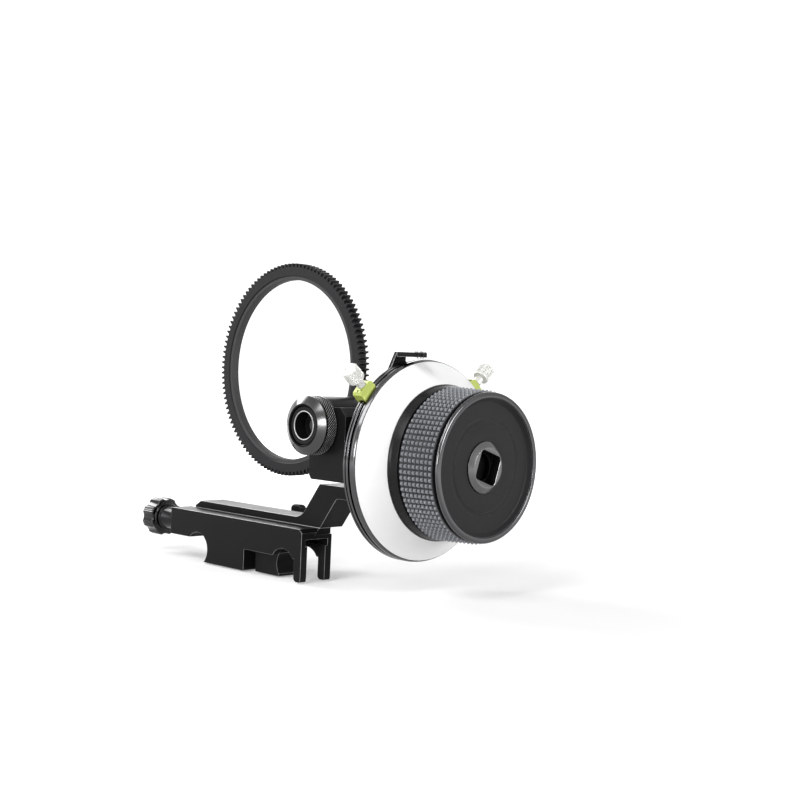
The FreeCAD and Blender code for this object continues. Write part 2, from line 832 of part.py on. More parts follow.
def gearbox_cover():
    left = housing_rear_left + cover_inset
    right = housing_right - cover_inset
    bottom = housing_bottom + cover_inset
    top = housing_shoulder_z - cover_inset
    outline = [
        (left, bottom, cover_corner_r), (right, bottom, cover_corner_r), (right, top, cover_corner_r),
        (drive_x, top), (drive_x, drive_axis_z), (left, drive_axis_z),
    ]
    cover = prism_y(outline, housing_back, cover_back)
    cover = cover.fuse(rod_y_dir(housing_back, cover_back, drive_x, drive_axis_z, barrel_r - cover_inset))
    cover = cover.fuse(rod_y_dir(plug_front, housing_back, drive_x, drive_axis_z, drive_cavity_r - press_gap))
    bush_end = cover_back - cover_skin
    cover = cover.cut(rod_y_dir(plug_front - past, bush_end, drive_x, drive_axis_z, drive_bush_r))
    seat = housing_back + screw_seat
    for x, z in cover_screw_places():
        cover = cover.cut(rod_y_dir(housing_back - past, cover_back + past, x, z, screw_r + slide_gap))
        cover = cover.cut(rod_y_dir(seat, cover_back + past, x, z, screw_head_r + head_gap))
    return cover.removeSplitter()


def cover_screws():
    seat = housing_back + screw_seat
    return Part.makeCompound([
        screw(rod_y_dir, housing_back - screw_grip, seat, seat + screw_head_l, x, z)
        for x, z in cover_screw_places()])


def side_cap():
    left = housing_rear_left - side_cap_t
    plug_end = housing_rear_left + side_plug_l
    cap = rod_x_dir(left, housing_rear_left, wheel_y, wheel_z, side_cap_r)
    cap = cap.fuse(rod_x_dir(housing_rear_left, plug_end, wheel_y, wheel_z, wheel_cavity_r - press_gap))
    cap = cap.cut(rod_x_dir(left + side_cap_skin, plug_end + past, wheel_y, wheel_z, inner_bush_r))
    barrel = rod_y_dir(housing_front, housing_back, drive_x, drive_axis_z, barrel_r + press_gap)
    return cap.cut(barrel.common(box(0, housing_rear_left, housing_front, housing_back, 0, lens_axis_z)))


def drive_bush(y0, y1):
    bush = rod_y_dir(y0, y1, drive_x, drive_axis_z, drive_bush_r - press_gap)
    return bush.cut(rod_y_dir(y0 - past, y1 + past, drive_x, drive_axis_z, drive_shaft_r + running_gap))


def wheel_bush(x0, x1, r):
    bush = rod_x_dir(x0, x1, wheel_y, wheel_z, r - press_gap)
    return bush.cut(rod_x_dir(x0 - past, x1 + past, wheel_y, wheel_z, wheel_shaft_r + running_gap))


# --- drive shaft, its gears, the output socket and the lock ring


def drive_shaft():
    end = cover_back - cover_skin - free_gap
    return rod_y_dir(collar_back - socket_web, end, drive_x, drive_axis_z, drive_shaft_r)


def drive_gear():
    away = math.atan2(drive_x, drive_axis_z - lens_axis_z)
    phase = away + math.pi + math.pi / drive_teeth
    outline = toothed_outline(drive_teeth, drive_pitch_r, drive_module, math.radians(pressure_deg), phase)
    gear = spur_blank(outline, drive_gear_front, drive_gear_back, drive_x, drive_axis_z)
    bore = rod_y_dir(drive_gear_front - past, drive_gear_back + past, drive_x, drive_axis_z, drive_shaft_r)
    return gear.cut(bore)


def cross_gear_on_drive():
    phase = math.pi + math.pi / drive_cross_teeth
    gear = helical_blank(drive_cross_teeth, "y", vec(drive_x, wheel_y, drive_axis_z), phase)
    reach = cross_w / 2 + past
    return gear.cut(rod_y_dir(wheel_y - reach, wheel_y + reach, drive_x, drive_axis_z, drive_shaft_r))


def output_socket():
    bore_end = collar_back - socket_web
    lip = socket_front + socket_edge
    profile = [
        (socket_front, socket_bore_r + socket_edge), (socket_front, socket_r - socket_edge), (lip, socket_r),
        (collar_back, socket_r), (collar_back, drive_shaft_r), (bore_end, drive_shaft_r),
        (bore_end, socket_bore_r), (lip, socket_bore_r),
    ]
    return turned_y(profile, drive_x, drive_axis_z)


def lock_collar():
    bore = socket_r + running_gap
    cone_back = collar_front + collar_cone_l
    line_front = cone_back + collar_land
    line_back = line_front + collar_line_w
    bevel = collar_line_depth / 2
    profile = [
        (collar_front, bore), (collar_front, collar_nose_r), (cone_back, collar_r), (line_front, collar_r),
        (line_front + bevel, collar_r - collar_line_depth), (line_back - bevel, collar_r - collar_line_depth),
        (line_back, collar_r), (collar_back - collar_edge, collar_r), (collar_back, collar_r - collar_edge),
        (collar_back, bore),
    ]
    ring = turned_y(profile, drive_x, drive_axis_z)
    flute = rod_y_dir(line_back + collar_edge, collar_back - flute_margin, drive_x,
                      drive_axis_z + collar_r - flute_depth + flute_r, flute_r)
    cutters = ring_of(flute, collar_flutes, vec(drive_x, 0, drive_axis_z), vec(0, 1, 0))
    return ring.cut(Part.makeCompound(cutters))


# --- lens gear ring


def lens_gear_ring():
    phase = math.atan2(drive_x, drive_axis_z - lens_axis_z)
    outline = toothed_outline(ring_teeth, ring_pitch_r, drive_module, math.radians(pressure_deg), phase, 2)
    ring = spur_blank(outline, ring_front, ring_back, 0, lens_axis_z)
    return ring.cut(rod_y_dir(ring_front - past, ring_back + past, 0, lens_axis_z, ring_bore_r))


def ring_liner():
    front = ring_front + liner_inset
    back = ring_back - liner_inset
    liner = rod_y_dir(front, back, 0, lens_axis_z, ring_bore_r - press_gap)
    return liner.cut(rod_y_dir(front - past, back + past, 0, lens_axis_z, ring_bore_r - liner_t))


# --- hand wheel


def wheel_shaft():
    left = housing_rear_left - side_cap_t + side_cap_skin + free_gap
    collar_left = drive_x + cross_w / 2 + head_gap
    collar_right = outer_bush_left - head_gap
    collar_rim = wheel_shaft_r + wheel_shaft_collar
    return turned_x([
        (left, 0), (left, wheel_shaft_r), (collar_left, wheel_shaft_r), (collar_left, collar_rim),
        (collar_right, collar_rim), (collar_right, wheel_shaft_r), (shaft_end, wheel_shaft_r), (shaft_end, 0),
    ], wheel_y, wheel_z)


def cross_gear_on_wheel():
    gear = helical_blank(wheel_cross_teeth, "x", vec(drive_x, wheel_y, wheel_z), math.pi / 2)
    reach = cross_w / 2 + past
    return gear.cut(rod_x_dir(drive_x - reach, drive_x + reach, wheel_y, wheel_z, wheel_shaft_r))


def back_plate():
    hub_left = housing_right + free_gap
    web = plate_front - plate_web
    line_back = plate_back + rim_line_at
    line_front = line_back + rim_line_w
    line_floor = plate_r - rim_line_depth
    floor = plate_r - rim_groove_depth
    profile = [
        (hub_left, wheel_shaft_r), (hub_left, hub_r), (web, hub_r), (web, plate_r - rim_t),
        (plate_back, plate_r - rim_t), (plate_back, plate_r - rim_edge), (plate_back + rim_edge, plate_r),
        (line_back, plate_r), (line_back, line_floor), (line_front, line_floor), (line_front, plate_r),
        (groove_back, plate_r), (groove_back, floor), (groove_front, floor), (groove_front, plate_r),
        (plate_front - rim_chamfer_w, plate_r), (plate_front, plate_r - rim_chamfer_h),
        (plate_front, hub_r), (cone_front, hub_r), (cone_front, wheel_shaft_r),
    ]
    plate = turned_x(profile, wheel_y, wheel_z)
    hole_end = cone_front - hub_screw_grip - past
    cutters = magnet_bars(0) + hub_screw_bars(hole_end, cone_front + past, screw_r + running_gap)
    return plate.cut(Part.makeCompound(cutters))


def magnet_bars(gap):
    bar = rod_x_dir(plate_front - magnet_l, plate_front, wheel_y, wheel_z + magnet_circle_r, magnet_r - gap)
    return ring_of(bar, magnet_count, vec(0, wheel_y, wheel_z), vec(1, 0, 0))


def disc_magnets():
    return Part.makeCompound(magnet_bars(press_gap))


def hub_ring(shape):
    """A piece at the top of the hub's screw circle, copied to all the screw places."""
    return ring_of(shape, hub_screw_count, vec(0, wheel_y, wheel_z), vec(1, 0, 0), 180.0 / hub_screw_count)


def hub_screw_bars(x0, x1, r):
    return hub_ring(rod_x_dir(x0, x1, wheel_y, wheel_z + hub_screw_circle_r, r))


def hub_screws():
    seat = cone_front + screw_seat
    tip = cone_front - hub_screw_grip
    top = seat + hub_screw_head_l
    one = screw(rod_x_dir, tip, seat, top, wheel_y, wheel_z + hub_screw_circle_r)
    return Part.makeCompound(hub_ring(one))


def marking_disc():
    back_r = plate_r - disc_inset
    lip_r = cone_front_r - cone_t
    seat = plate_front + disc_seat_t
    inner = magnet_circle_r - magnet_r - past
    profile = [
        (plate_front, back_r), (cone_front, cone_front_r), (cone_front, lip_r),
        (cone_front - disc_lip_l, lip_r), (seat, back_r - disc_seat_wall), (seat, inner),
        (plate_front, inner),
    ]
    return turned_x(profile, wheel_y, wheel_z)


def wheel_flange():
    rim_end = cone_front + flange_rim_w
    bevel_end = rim_end + flange_bevel_w
    neck_r = flange_r - flange_neck_depth
    floor = cone_front + flange_floor_t
    profile = [
        (cone_front, wheel_shaft_r), (cone_front, flange_r - flange_edge),
        (cone_front + flange_edge, flange_r), (rim_end, flange_r),
        (bevel_end, flange_r - flange_bevel_h), (flange_front, flange_r - flange_taper),
        (flange_front, neck_r), (grip_back, neck_r), (grip_back, grip_seat_r), (grip_front, grip_seat_r),
        (grip_front, tube_bore_r), (floor, tube_bore_r), (floor, wheel_shaft_r),
    ]
    flange = turned_x(profile, wheel_y, wheel_z)
    holes = hub_screw_bars(cone_front - past, floor + past, screw_r + slide_gap)
    pockets = hub_screw_bars(cone_front + screw_seat, floor + past, screw_head_r + head_gap)
    return flange.cut(Part.makeCompound(holes)).cut(Part.makeCompound(pockets))


def grip_sleeve():
    pitch = grip_l / grip_rings
    inner = grip_seat_r + press_gap
    profile = [(grip_back, inner), (grip_back, grip_r - grip_depth)]
    for i in range(grip_rings):
        ridge = grip_r - grip_taper * (i + 0.5) / grip_rings
        valley = grip_r - grip_taper * (i + 1) / grip_rings - grip_depth
        profile.append((grip_back + pitch * (i + 0.5), ridge))
        profile.append((grip_back + pitch * (i + 1), valley))
    profile.append((grip_front, inner))
    return turned_x(profile, wheel_y, wheel_z)


def end_cap():
    neck_r = cap_r - cap_neck_depth
    neck_end = grip_front + cap_neck_l
    back = cap_floor - cap_plate_t
    plug_r = tube_bore_r - press_gap
    lip_r = cap_r - cap_lip
    seat = cap_floor - boss_seat
    seat_edge = boss_r + free_gap
    line_floor = cap_floor - cap_ring_depth
    profile = [
        (back, sleeve_r), (back, plug_r), (grip_front, plug_r), (grip_front, neck_r), (neck_end, neck_r),
        (neck_end, cap_r - cap_edge), (neck_end + cap_edge, cap_r), (cap_front - cap_edge, cap_r),
        (cap_front, cap_r - cap_edge), (cap_front, lip_r), (cap_floor, lip_r - cap_slope),
        (cap_floor, cap_ring_r), (line_floor, cap_ring_r), (line_floor, cap_ring_r - cap_ring_w),
        (cap_floor, cap_ring_r - cap_ring_w), (cap_floor, seat_edge), (seat, seat_edge), (seat, sleeve_r),
    ]
    return turned_x(profile, wheel_y, wheel_z)


def crank_socket():
    back = cone_front + flange_floor_t
    body_r = sleeve_r - press_gap
    seat = cap_floor - boss_seat
    body = turned_x([
        (back, wheel_shaft_r), (back, body_r), (seat, body_r), (seat, boss_r),
        (cap_floor + boss_side, boss_r), (boss_face, boss_r - boss_chamfer), (boss_face, 0),
        (shaft_end, 0), (shaft_end, wheel_shaft_r),
    ], wheel_y, wheel_z)
    half = crank_square / 2
    corners = [(wheel_y + v * half, wheel_z + w * half, crank_corner_r)
               for v, w in ((-1, -1), (1, -1), (1, 1), (-1, 1))]
    square = prism_x(corners, boss_face - crank_depth, boss_face + past)
    square.rotate(vec(0, wheel_y, wheel_z), vec(1, 0, 0), crank_square_deg)
    return body.cut(square).cut(rod_x_dir(bore_floor, boss_face, wheel_y, wheel_z, crank_bore_r))


# --- stops on the rim and the index bracket


def stop_block(angle):
    half = stop_w / 2
    front = wheel_y - half
    rear = wheel_y + half
    inner = wheel_z + stop_inner_r
    top = wheel_z + stop_top_r
    block = prism_x([
        (front, inner), (rear, inner), (rear, top - stop_corner), (rear - stop_corner, top),
        (front + stop_corner, top), (front, top - stop_corner),
    ], stop_left, stop_right)
    leg = box(stop_left, stop_left + stop_leg_t, front, rear, inner - stop_leg_h, inner)
    foot = box(groove_back + free_gap, stop_right, front, rear, inner - stop_foot_h, inner)
    block = block.multiFuse([leg, foot])
    block = block.cut(box(stop_left - past, stop_right - stop_wall_t, front - past, rear + past,
                          top - stop_wall_h, top + past))
    slit_bottom = inner + stop_slit_z
    for end in (front, rear):
        block = block.cut(box(stop_left + stop_slit_end, stop_right - stop_slit_end, end - stop_slit_depth,
                              end + stop_slit_depth, slit_bottom, slit_bottom + stop_slit_h))
    block = block.cut(rod_z_dir(inner, top + past, stop_screw_x, wheel_y, stop_screw_r + running_gap))
    pin_x = stop_screw_x - stop_pin_left
    pin_y = wheel_y - math.copysign(stop_pin_side, angle)
    block = block.cut(rod_z_dir(top - stop_pin_depth, top + past, pin_x, pin_y, stop_pin_r))
    block = block.removeSplitter()
    block.rotate(vec(0, wheel_y, wheel_z), vec(1, 0, 0), angle)
    return block


def stop_screw(angle):
    stem = wheel_z + stop_inner_r
    neck = wheel_z + stop_top_r + free_gap
    head = neck + stop_neck_l
    end = head + stop_head_l
    rim = stop_head_r - stop_head_edge
    part = turned_z([
        (stem, 0), (stem, stop_screw_r), (neck, stop_screw_r), (neck, stop_neck_r), (head, stop_neck_r),
        (head, rim), (head + stop_head_edge, stop_head_r), (end - stop_head_edge, stop_head_r), (end, rim),
        (end, 0),
    ], stop_screw_x, wheel_y)
    part.rotate(vec(0, wheel_y, wheel_z), vec(1, 0, 0), angle)
    return part


def index_screw_places():
    z = index_foot_z + index_screw_inset
    return ((index_foot_front + index_screw_inset, z), (index_foot_back - index_screw_inset, z))


def index_bracket():
    right = housing_right + index_t
    upright = prism_x([
        (index_foot_front, index_foot_z, index_foot_r), (index_foot_back, index_foot_z, index_foot_r),
        (index_foot_back, index_bar_top), (index_tip_front, index_bar_top),
        (index_tip_front - index_shoulder_run, index_bar_bottom - index_shoulder),
        (index_foot_front, index_foot_z + index_foot_h),
    ], housing_right, right)
    bar = box(housing_right, index_end_x, index_tip_front, index_foot_back, index_bar_bottom, index_bar_top)
    end_r = (index_foot_back - index_tip_front) / 2
    end = rod_z_dir(index_bar_bottom, index_bar_top, index_end_x, index_mid_y, end_r)
    bracket = upright.multiFuse([bar, end])
    for y, z in index_screw_places():
        bracket = bracket.cut(rod_x_dir(housing_right - past, right + past, y, z, screw_r + slide_gap))
        bracket = bracket.cut(rod_x_dir(housing_right + index_screw_seat, right + past, y, z,
                                        screw_head_r + head_gap))
    pin_hole = rod_z_dir(index_bar_bottom - past, index_bar_top + past, index_end_x, index_mid_y,
                         index_pin_r + running_gap)
    return bracket.cut(pin_hole).removeSplitter()


def index_screws():
    seat = housing_right + index_screw_seat
    tip = housing_right - index_screw_grip
    return Part.makeCompound([
        screw(rod_x_dir, tip, seat, seat + index_head_l, y, z) for y, z in index_screw_places()])


def index_nut():
    nut = rod_z_dir(index_bar_top, index_bar_top + index_nut_t, index_end_x, index_mid_y, index_nut_r)
    pin = rod_z_dir(index_bar_bottom - index_pin_drop, index_bar_top, index_end_x, index_mid_y, index_pin_r)
    return nut.fuse(pin).removeSplitter()


os.makedirs("parts", exist_ok=True)

export("clamp_body", clamp_body())
export("clamp_bush", clamp_bush())
export("sliding_jaw", sliding_jaw())
export("knob_head", knob_head())
export("knob_neck", knob_neck())
export("clamp_screw", clamp_screw())
export("screw_circlip", screw_circlip())
export("support_arm", support_arm())
export("arm_screws", arm_screws())
export("slide_guide", slide_guide())
export("guide_screws", guide_screws())
export("lock_lever", lock_lever())
export("lever_stud", lever_stud())
export("gearbox_housing", gearbox_housing())
export("gearbox_cover", gearbox_cover())
export("cover_screws", cover_screws())
export("side_cap", side_cap())
export("front_bush", drive_bush(housing_front, housing_front + front_bush_l))
export("middle_bush", drive_bush(window_back, mid_wall_back))
export("rear_bush", drive_bush(plug_front, cover_back - cover_skin - press_gap))
export("inner_wheel_bush", wheel_bush(housing_rear_left - side_cap_t + side_cap_skin,
                                      housing_rear_left + side_plug_l, inner_bush_r))
export("outer_wheel_bush", wheel_bush(outer_bush_left, housing_right, wheel_bush_r))
export("drive_shaft", drive_shaft())
export("drive_gear", drive_gear())
export("cross_gear_on_drive", cross_gear_on_drive())
export("output_socket", output_socket())
export("lock_collar", lock_collar())
export("lens_gear_ring", lens_gear_ring())
export("ring_liner", ring_liner())
export("wheel_shaft", wheel_shaft())
export("cross_gear_on_wheel", cross_gear_on_wheel())
export("back_plate", back_plate())
export("disc_magnets", disc_magnets())
export("hub_screws", hub_screws())
export("marking_disc", marking_disc())
export("wheel_flange", wheel_flange())
export("grip_sleeve", grip_sleeve())
export("end_cap", end_cap())
export("crank_socket", crank_socket())
export("stop_block_a", stop_block(stop_a_deg))
export("stop_block_b", stop_block(stop_b_deg))
export("stop_screw_a", stop_screw(stop_a_deg))
export("stop_screw_b", stop_screw(stop_b_deg))
export("index_bracket", index_bracket())
export("index_screws", index_screws())
export("index_nut", index_nut())
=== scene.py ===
import json
import math

import bmesh
import bpy
import numpy as np
from mathutils import Matrix, Vector

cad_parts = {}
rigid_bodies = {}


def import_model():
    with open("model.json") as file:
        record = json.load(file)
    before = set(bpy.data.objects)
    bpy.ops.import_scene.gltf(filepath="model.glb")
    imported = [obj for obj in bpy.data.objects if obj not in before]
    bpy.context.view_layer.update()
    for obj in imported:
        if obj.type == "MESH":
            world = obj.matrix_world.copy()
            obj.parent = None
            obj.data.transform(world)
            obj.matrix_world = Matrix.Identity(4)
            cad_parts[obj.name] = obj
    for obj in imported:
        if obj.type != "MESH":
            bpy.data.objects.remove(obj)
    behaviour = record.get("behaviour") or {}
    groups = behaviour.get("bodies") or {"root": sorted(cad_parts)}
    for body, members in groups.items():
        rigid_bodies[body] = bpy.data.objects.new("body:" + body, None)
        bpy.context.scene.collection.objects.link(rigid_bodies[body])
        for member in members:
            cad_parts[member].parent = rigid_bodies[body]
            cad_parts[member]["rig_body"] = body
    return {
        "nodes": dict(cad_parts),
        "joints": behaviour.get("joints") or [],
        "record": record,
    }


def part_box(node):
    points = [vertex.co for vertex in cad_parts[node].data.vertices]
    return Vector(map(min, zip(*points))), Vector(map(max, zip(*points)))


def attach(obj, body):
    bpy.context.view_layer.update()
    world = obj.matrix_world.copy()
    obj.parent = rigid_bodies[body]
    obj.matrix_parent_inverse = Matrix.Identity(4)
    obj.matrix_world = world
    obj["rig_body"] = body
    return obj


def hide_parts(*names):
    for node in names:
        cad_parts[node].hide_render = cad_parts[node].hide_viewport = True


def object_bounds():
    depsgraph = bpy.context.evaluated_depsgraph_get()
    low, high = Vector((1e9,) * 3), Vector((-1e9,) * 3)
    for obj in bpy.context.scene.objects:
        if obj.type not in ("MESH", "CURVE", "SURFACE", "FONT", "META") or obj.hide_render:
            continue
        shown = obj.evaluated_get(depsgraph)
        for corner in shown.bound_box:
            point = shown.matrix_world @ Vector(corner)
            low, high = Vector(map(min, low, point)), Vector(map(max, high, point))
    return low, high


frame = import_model()
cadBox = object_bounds()
nodes = frame["nodes"]
joints = {joint["name"]: joint for joint in frame["joints"]}
mm = 0.001
turn = 2 * math.pi
scene = bpy.context.scene


def reach(name):
    # lowest and highest corner of a frame node, in mm
    low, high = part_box(name)
    return np.array(low) / mm, np.array(high) / mm


def hinge(name):
    # a joint's place, in mm
    return np.array(joints[name]["pos_m"]) / mm


def spanAbout(name, centre, axis=(1, 0, 0)):
    # a node's two ends along an axis, and its least and greatest distance from it, in mm
    mesh = nodes[name].data
    points = np.empty(len(mesh.vertices) * 3, np.float32)
    mesh.vertices.foreach_get("co", points)
    points = points.reshape(-1, 3) / mm
    axis = np.array(axis) / np.linalg.norm(axis)
    height = points @ axis
    away = points - centre
    away = np.linalg.norm(away - (away @ axis)[:, None] * axis, axis=1)
    return height.min(), height.max(), away.min(), away.max()


def newObject(name, data):
    thing = bpy.data.objects.new(name, data)
    scene.collection.objects.link(thing)
    return thing


wheelCentre = hinge("wheel_turn")
driveCentre = hinge("drive_turn")
lensCentre = hinge("lens_ring_turn")
knobCentre = hinge("knob_turn")


# camera

# place in metres, angles in degrees, lens and sensor in mm
cameraView = {"place": (0.4686, -0.3881, 0.0883), "heading": 44.435, "dip": 1.471, "roll": 2.52,
              "lens": 60.84, "sensor": 36, "nearest": 0.01}


def makeCamera():
    heading, dip, roll = (math.radians(cameraView[key]) for key in ("heading", "dip", "roll"))
    ahead = Vector((-math.sin(heading) * math.cos(dip), math.cos(heading) * math.cos(dip), -math.sin(dip)))
    level = ahead.cross(Vector((0, 0, 1))).normalized()
    upward = level.cross(ahead)
    right = level * math.cos(roll) + upward * math.sin(roll)
    top = upward * math.cos(roll) - level * math.sin(roll)
    data = bpy.data.cameras.new("camera")
    data.lens = cameraView["lens"]
    data.sensor_width = cameraView["sensor"]
    data.clip_start = cameraView["nearest"]
    camera = newObject("camera", data)
    facing = Matrix((right, top, -ahead)).transposed().to_4x4()
    camera.matrix_world = Matrix.Translation(cameraView["place"]) @ facing
    scene.camera = camera


# nodes, and the groups of them that the materials share

def setInputs(tree, node, values):
    # each input takes a link from a socket, or a plain value
    for label, value in values.items():
        if isinstance(value, bpy.types.NodeSocket):
            tree.links.new(value, node.inputs[label])
        else:
            node.inputs[label].default_value = value


def newNode(tree, kind, values=None):
    node = tree.nodes.new("ShaderNode" + kind)
    setInputs(tree, node, values or {})
    return node


def newGroup(name, inputs, outputs):
    group = bpy.data.node_groups.new(name, "ShaderNodeTree")
    for side, labels in (("INPUT", inputs), ("OUTPUT", outputs)):
        for label in labels:
            kind = "NodeSocketVector" if label == "Vector" else "NodeSocketFloat"
            group.interface.new_socket(label, in_out=side, socket_type=kind)
    return group, group.nodes.new("NodeGroupInput"), group.nodes.new("NodeGroupOutput")


def mathNode(tree, operation, *values, clamp=False):
    node = newNode(tree, "Math", dict(enumerate(values)))
    node.operation = operation
    node.use_clamp = clamp
    return node.outputs[0]


def noiseNode(tree, vector, scale, detail=2.0, rough=0.5):
    values = {"Vector": vector, "Scale": scale, "Detail": detail, "Roughness": rough}
    return newNode(tree, "TexNoise", values).outputs["Fac"]


grainLook = {"scale": 9000.0, "detail": 3.0, "rough": 0.65}
markLook = {"scale": 55.0, "detail": 4.0, "rough": 0.6, "contrast": 2.4, "shift": -0.7}


def grainGroup():
    # blasted grain: fine noise for the height, broad noise for handling marks
    group, gin, gout = newGroup("blastedGrain", ["Vector", "Scale"], ["Height", "Marks"])
    where = gin.outputs["Vector"]
    fine = noiseNode(group, where, gin.outputs["Scale"], grainLook["detail"], grainLook["rough"])
    broad = noiseNode(group, where, markLook["scale"], markLook["detail"], markLook["rough"])
    marks = mathNode(group, "MULTIPLY_ADD", broad, markLook["contrast"], markLook["shift"], clamp=True)
    setInputs(group, gout, {"Height": fine, "Marks": marks})
    return group


# shade: added to the lighter edge colour, up to the palest; that colour is partly wear and partly painted
# highlight; marked: the share of marks where nothing wears
wearAndHighlightLook = {"radius": 0.35, "samples": 6, "patches": 420.0, "detail": 3.0, "rough": 0.7, "gain": 6.0,
            "shade": 0.02, "palest": 0.95, "marked": 0.15}


def wearAndHighlightGroup():
    # edge mask: how far the surface normal departs from a rounded-over one, for edges lightened partly as
    # wear and partly as painted highlight
    group, gin, gout = newGroup("edgeWearAndHighlight", ["Vector", "Gain"], ["Edge"])
    bevel = newNode(group, "Bevel", {"Radius": wearAndHighlightLook["radius"] * mm})
    bevel.samples = wearAndHighlightLook["samples"]
    normal = newNode(group, "NewGeometry").outputs["Normal"]
    dot = newNode(group, "VectorMath", {0: bevel.outputs[0], 1: normal})
    dot.operation = "DOT_PRODUCT"
    away = mathNode(group, "SUBTRACT", 1.0, dot.outputs["Value"])
    raised = mathNode(group, "MULTIPLY", away, gin.outputs["Gain"])
    where = gin.outputs["Vector"]
    patch = noiseNode(group, where, wearAndHighlightLook["patches"], wearAndHighlightLook["detail"], wearAndHighlightLook["rough"])
    broken = mathNode(group, "MULTIPLY", raised, patch, clamp=True)
    setInputs(group, gout, {"Edge": broken})
    return group


def awayFromAxis(tree, split):
    # distance from the X axis: the root of y squared plus z squared
    square = mathNode(tree, "ADD", mathNode(tree, "POWER", split.outputs[1], 2.0),
                      mathNode(tree, "POWER", split.outputs[2], 2.0))
    return mathNode(tree, "SQRT", square)


latheLook = {"scale": 2500.0, "detail": 2.0, "rough": 0.6}


def latheGroup():
    # turning lines: noise read only by distance from the X axis of its own space and by height along it
    group, gin, gout = newGroup("latheLines", ["Vector", "Scale"], ["Height"])
    split = newNode(group, "SeparateXYZ", {0: gin.outputs["Vector"]})
    join = newNode(group, "CombineXYZ", {0: split.outputs[0], 1: awayFromAxis(group, split)})
    where = join.outputs[0]
    lines = noiseNode(group, where, gin.outputs["Scale"], latheLook["detail"], latheLook["rough"])
    setInputs(group, gout, {"Height": lines})
    return group


def valleyShadeGroup():
    # how far a point has risen from valley to tip: (distance from the X axis + slope * height - low) / rise;
    # the mask for painted shade in valleys
    group, gin, gout = newGroup("valleyShadeHeight", ["Vector", "Low", "Rise", "Slope"], ["Raised"])
    split = newNode(group, "SeparateXYZ", {0: gin.outputs["Vector"]})
    taper = mathNode(group, "MULTIPLY", split.outputs[0], gin.outputs["Slope"])
    distance = mathNode(group, "ADD", awayFromAxis(group, split), taper)
    above = mathNode(group, "SUBTRACT", distance, gin.outputs["Low"])
    raised = mathNode(group, "DIVIDE", above, gin.outputs["Rise"], clamp=True)
    setInputs(group, gout, {"Raised": raised})
    return group


groups = {"grain": grainGroup(), "wearAndHighlight": wearAndHighlightGroup(), "lathe": latheGroup(), "relief": valleyShadeGroup()}


# finishes: colours are linear, depths in mm, and what a finish leaves out comes from the plain one
# gloss is the strength of the mirror layer, lift how much lighter the edges are (partly wear, partly painted
# highlight), smudge the share of marks

plainFinish = {"metal": 0.0, "grain": 0.004, "wearAndHighlight": 0.0, "scale": grainLook["scale"], "gloss": 0.5,
               "lift": 3.2, "smudge": 0.12}
finishes = {
    "black_anodised": {"colour": (0.007, 0.0071, 0.0076), "rough": 0.34, "grain": 0.012, "wearAndHighlight": 0.7,
                       "gloss": 0.07, "lift": 11.0},
    "black_polished": {"colour": (0.040, 0.040, 0.041), "rough": 0.16, "metal": 1.0, "grain": 0.001,
                       "wearAndHighlight": 0.5, "scale": 5000.0, "lift": 4.0},
    "steel": {"colour": (0.42, 0.42, 0.43), "rough": 0.28, "metal": 1.0, "grain": 0.003, "wearAndHighlight": 0.2},
    "black_screw": {"colour": (0.03, 0.03, 0.032), "rough": 0.35, "metal": 0.6, "wearAndHighlight": 0.6},
    "bronze": {"colour": (0.42, 0.26, 0.10), "rough": 0.38, "metal": 1.0, "grain": 0.006, "wearAndHighlight": 0.2},
    "gear_steel": {"colour": (0.38, 0.38, 0.38), "rough": 0.32, "metal": 1.0, "wearAndHighlight": 0.4},
    "magnet": {"colour": (0.66, 0.66, 0.68), "rough": 0.2, "metal": 1.0, "grain": 0.001, "wearAndHighlight": 0.1},
    "white_disc": {"colour": (0.82, 0.82, 0.82), "rough": 0.55},
    "grip_rubber": {"colour": (0.185, 0.192, 0.206), "rough": 0.34, "grain": 0.003, "wearAndHighlight": 0.9,
                    "gloss": 0.35},
    "stop_green": {"colour": (0.45, 0.53, 0.115), "rough": 0.32, "metal": 0.15, "wearAndHighlight": 0.25},
    "white_screw": {"colour": (0.66, 0.66, 0.63), "rough": 0.30, "metal": 0.2, "grain": 0.002, "wearAndHighlight": 0.1},
    "ring_black": {"colour": (0.010, 0.010, 0.011), "rough": 0.42, "grain": 0.006, "wearAndHighlight": 0.5,
                   "gloss": 0.15},
    "liner_rubber": {"colour": (0.018, 0.018, 0.018), "rough": 0.7, "grain": 0.01},
}


def blendColours(tree, factor, first, second):
    # a colour between two, each given as a colour or a socket
    mix = newNode(tree, "Mix")
    mix.data_type = "RGBA"
    ends = [end if isinstance(end, bpy.types.NodeSocket) else (*end, 1) for end in (first, second)]
    setInputs(tree, mix, {"Factor": factor, "A": ends[0], "B": ends[1]})
    return mix.outputs["Result"]


def placeGroup(tree, name, vector, **values):
    node = newNode(tree, "Group")
    node.node_tree = groups[name]
    setInputs(tree, node, values | {"Vector": vector})
    return node


def axisSpace(tree, where, about):
    values = {"Vector": where, "Location": about["place"], "Rotation": about["turned"]}
    return newNode(tree, "Mapping", values).outputs[0]


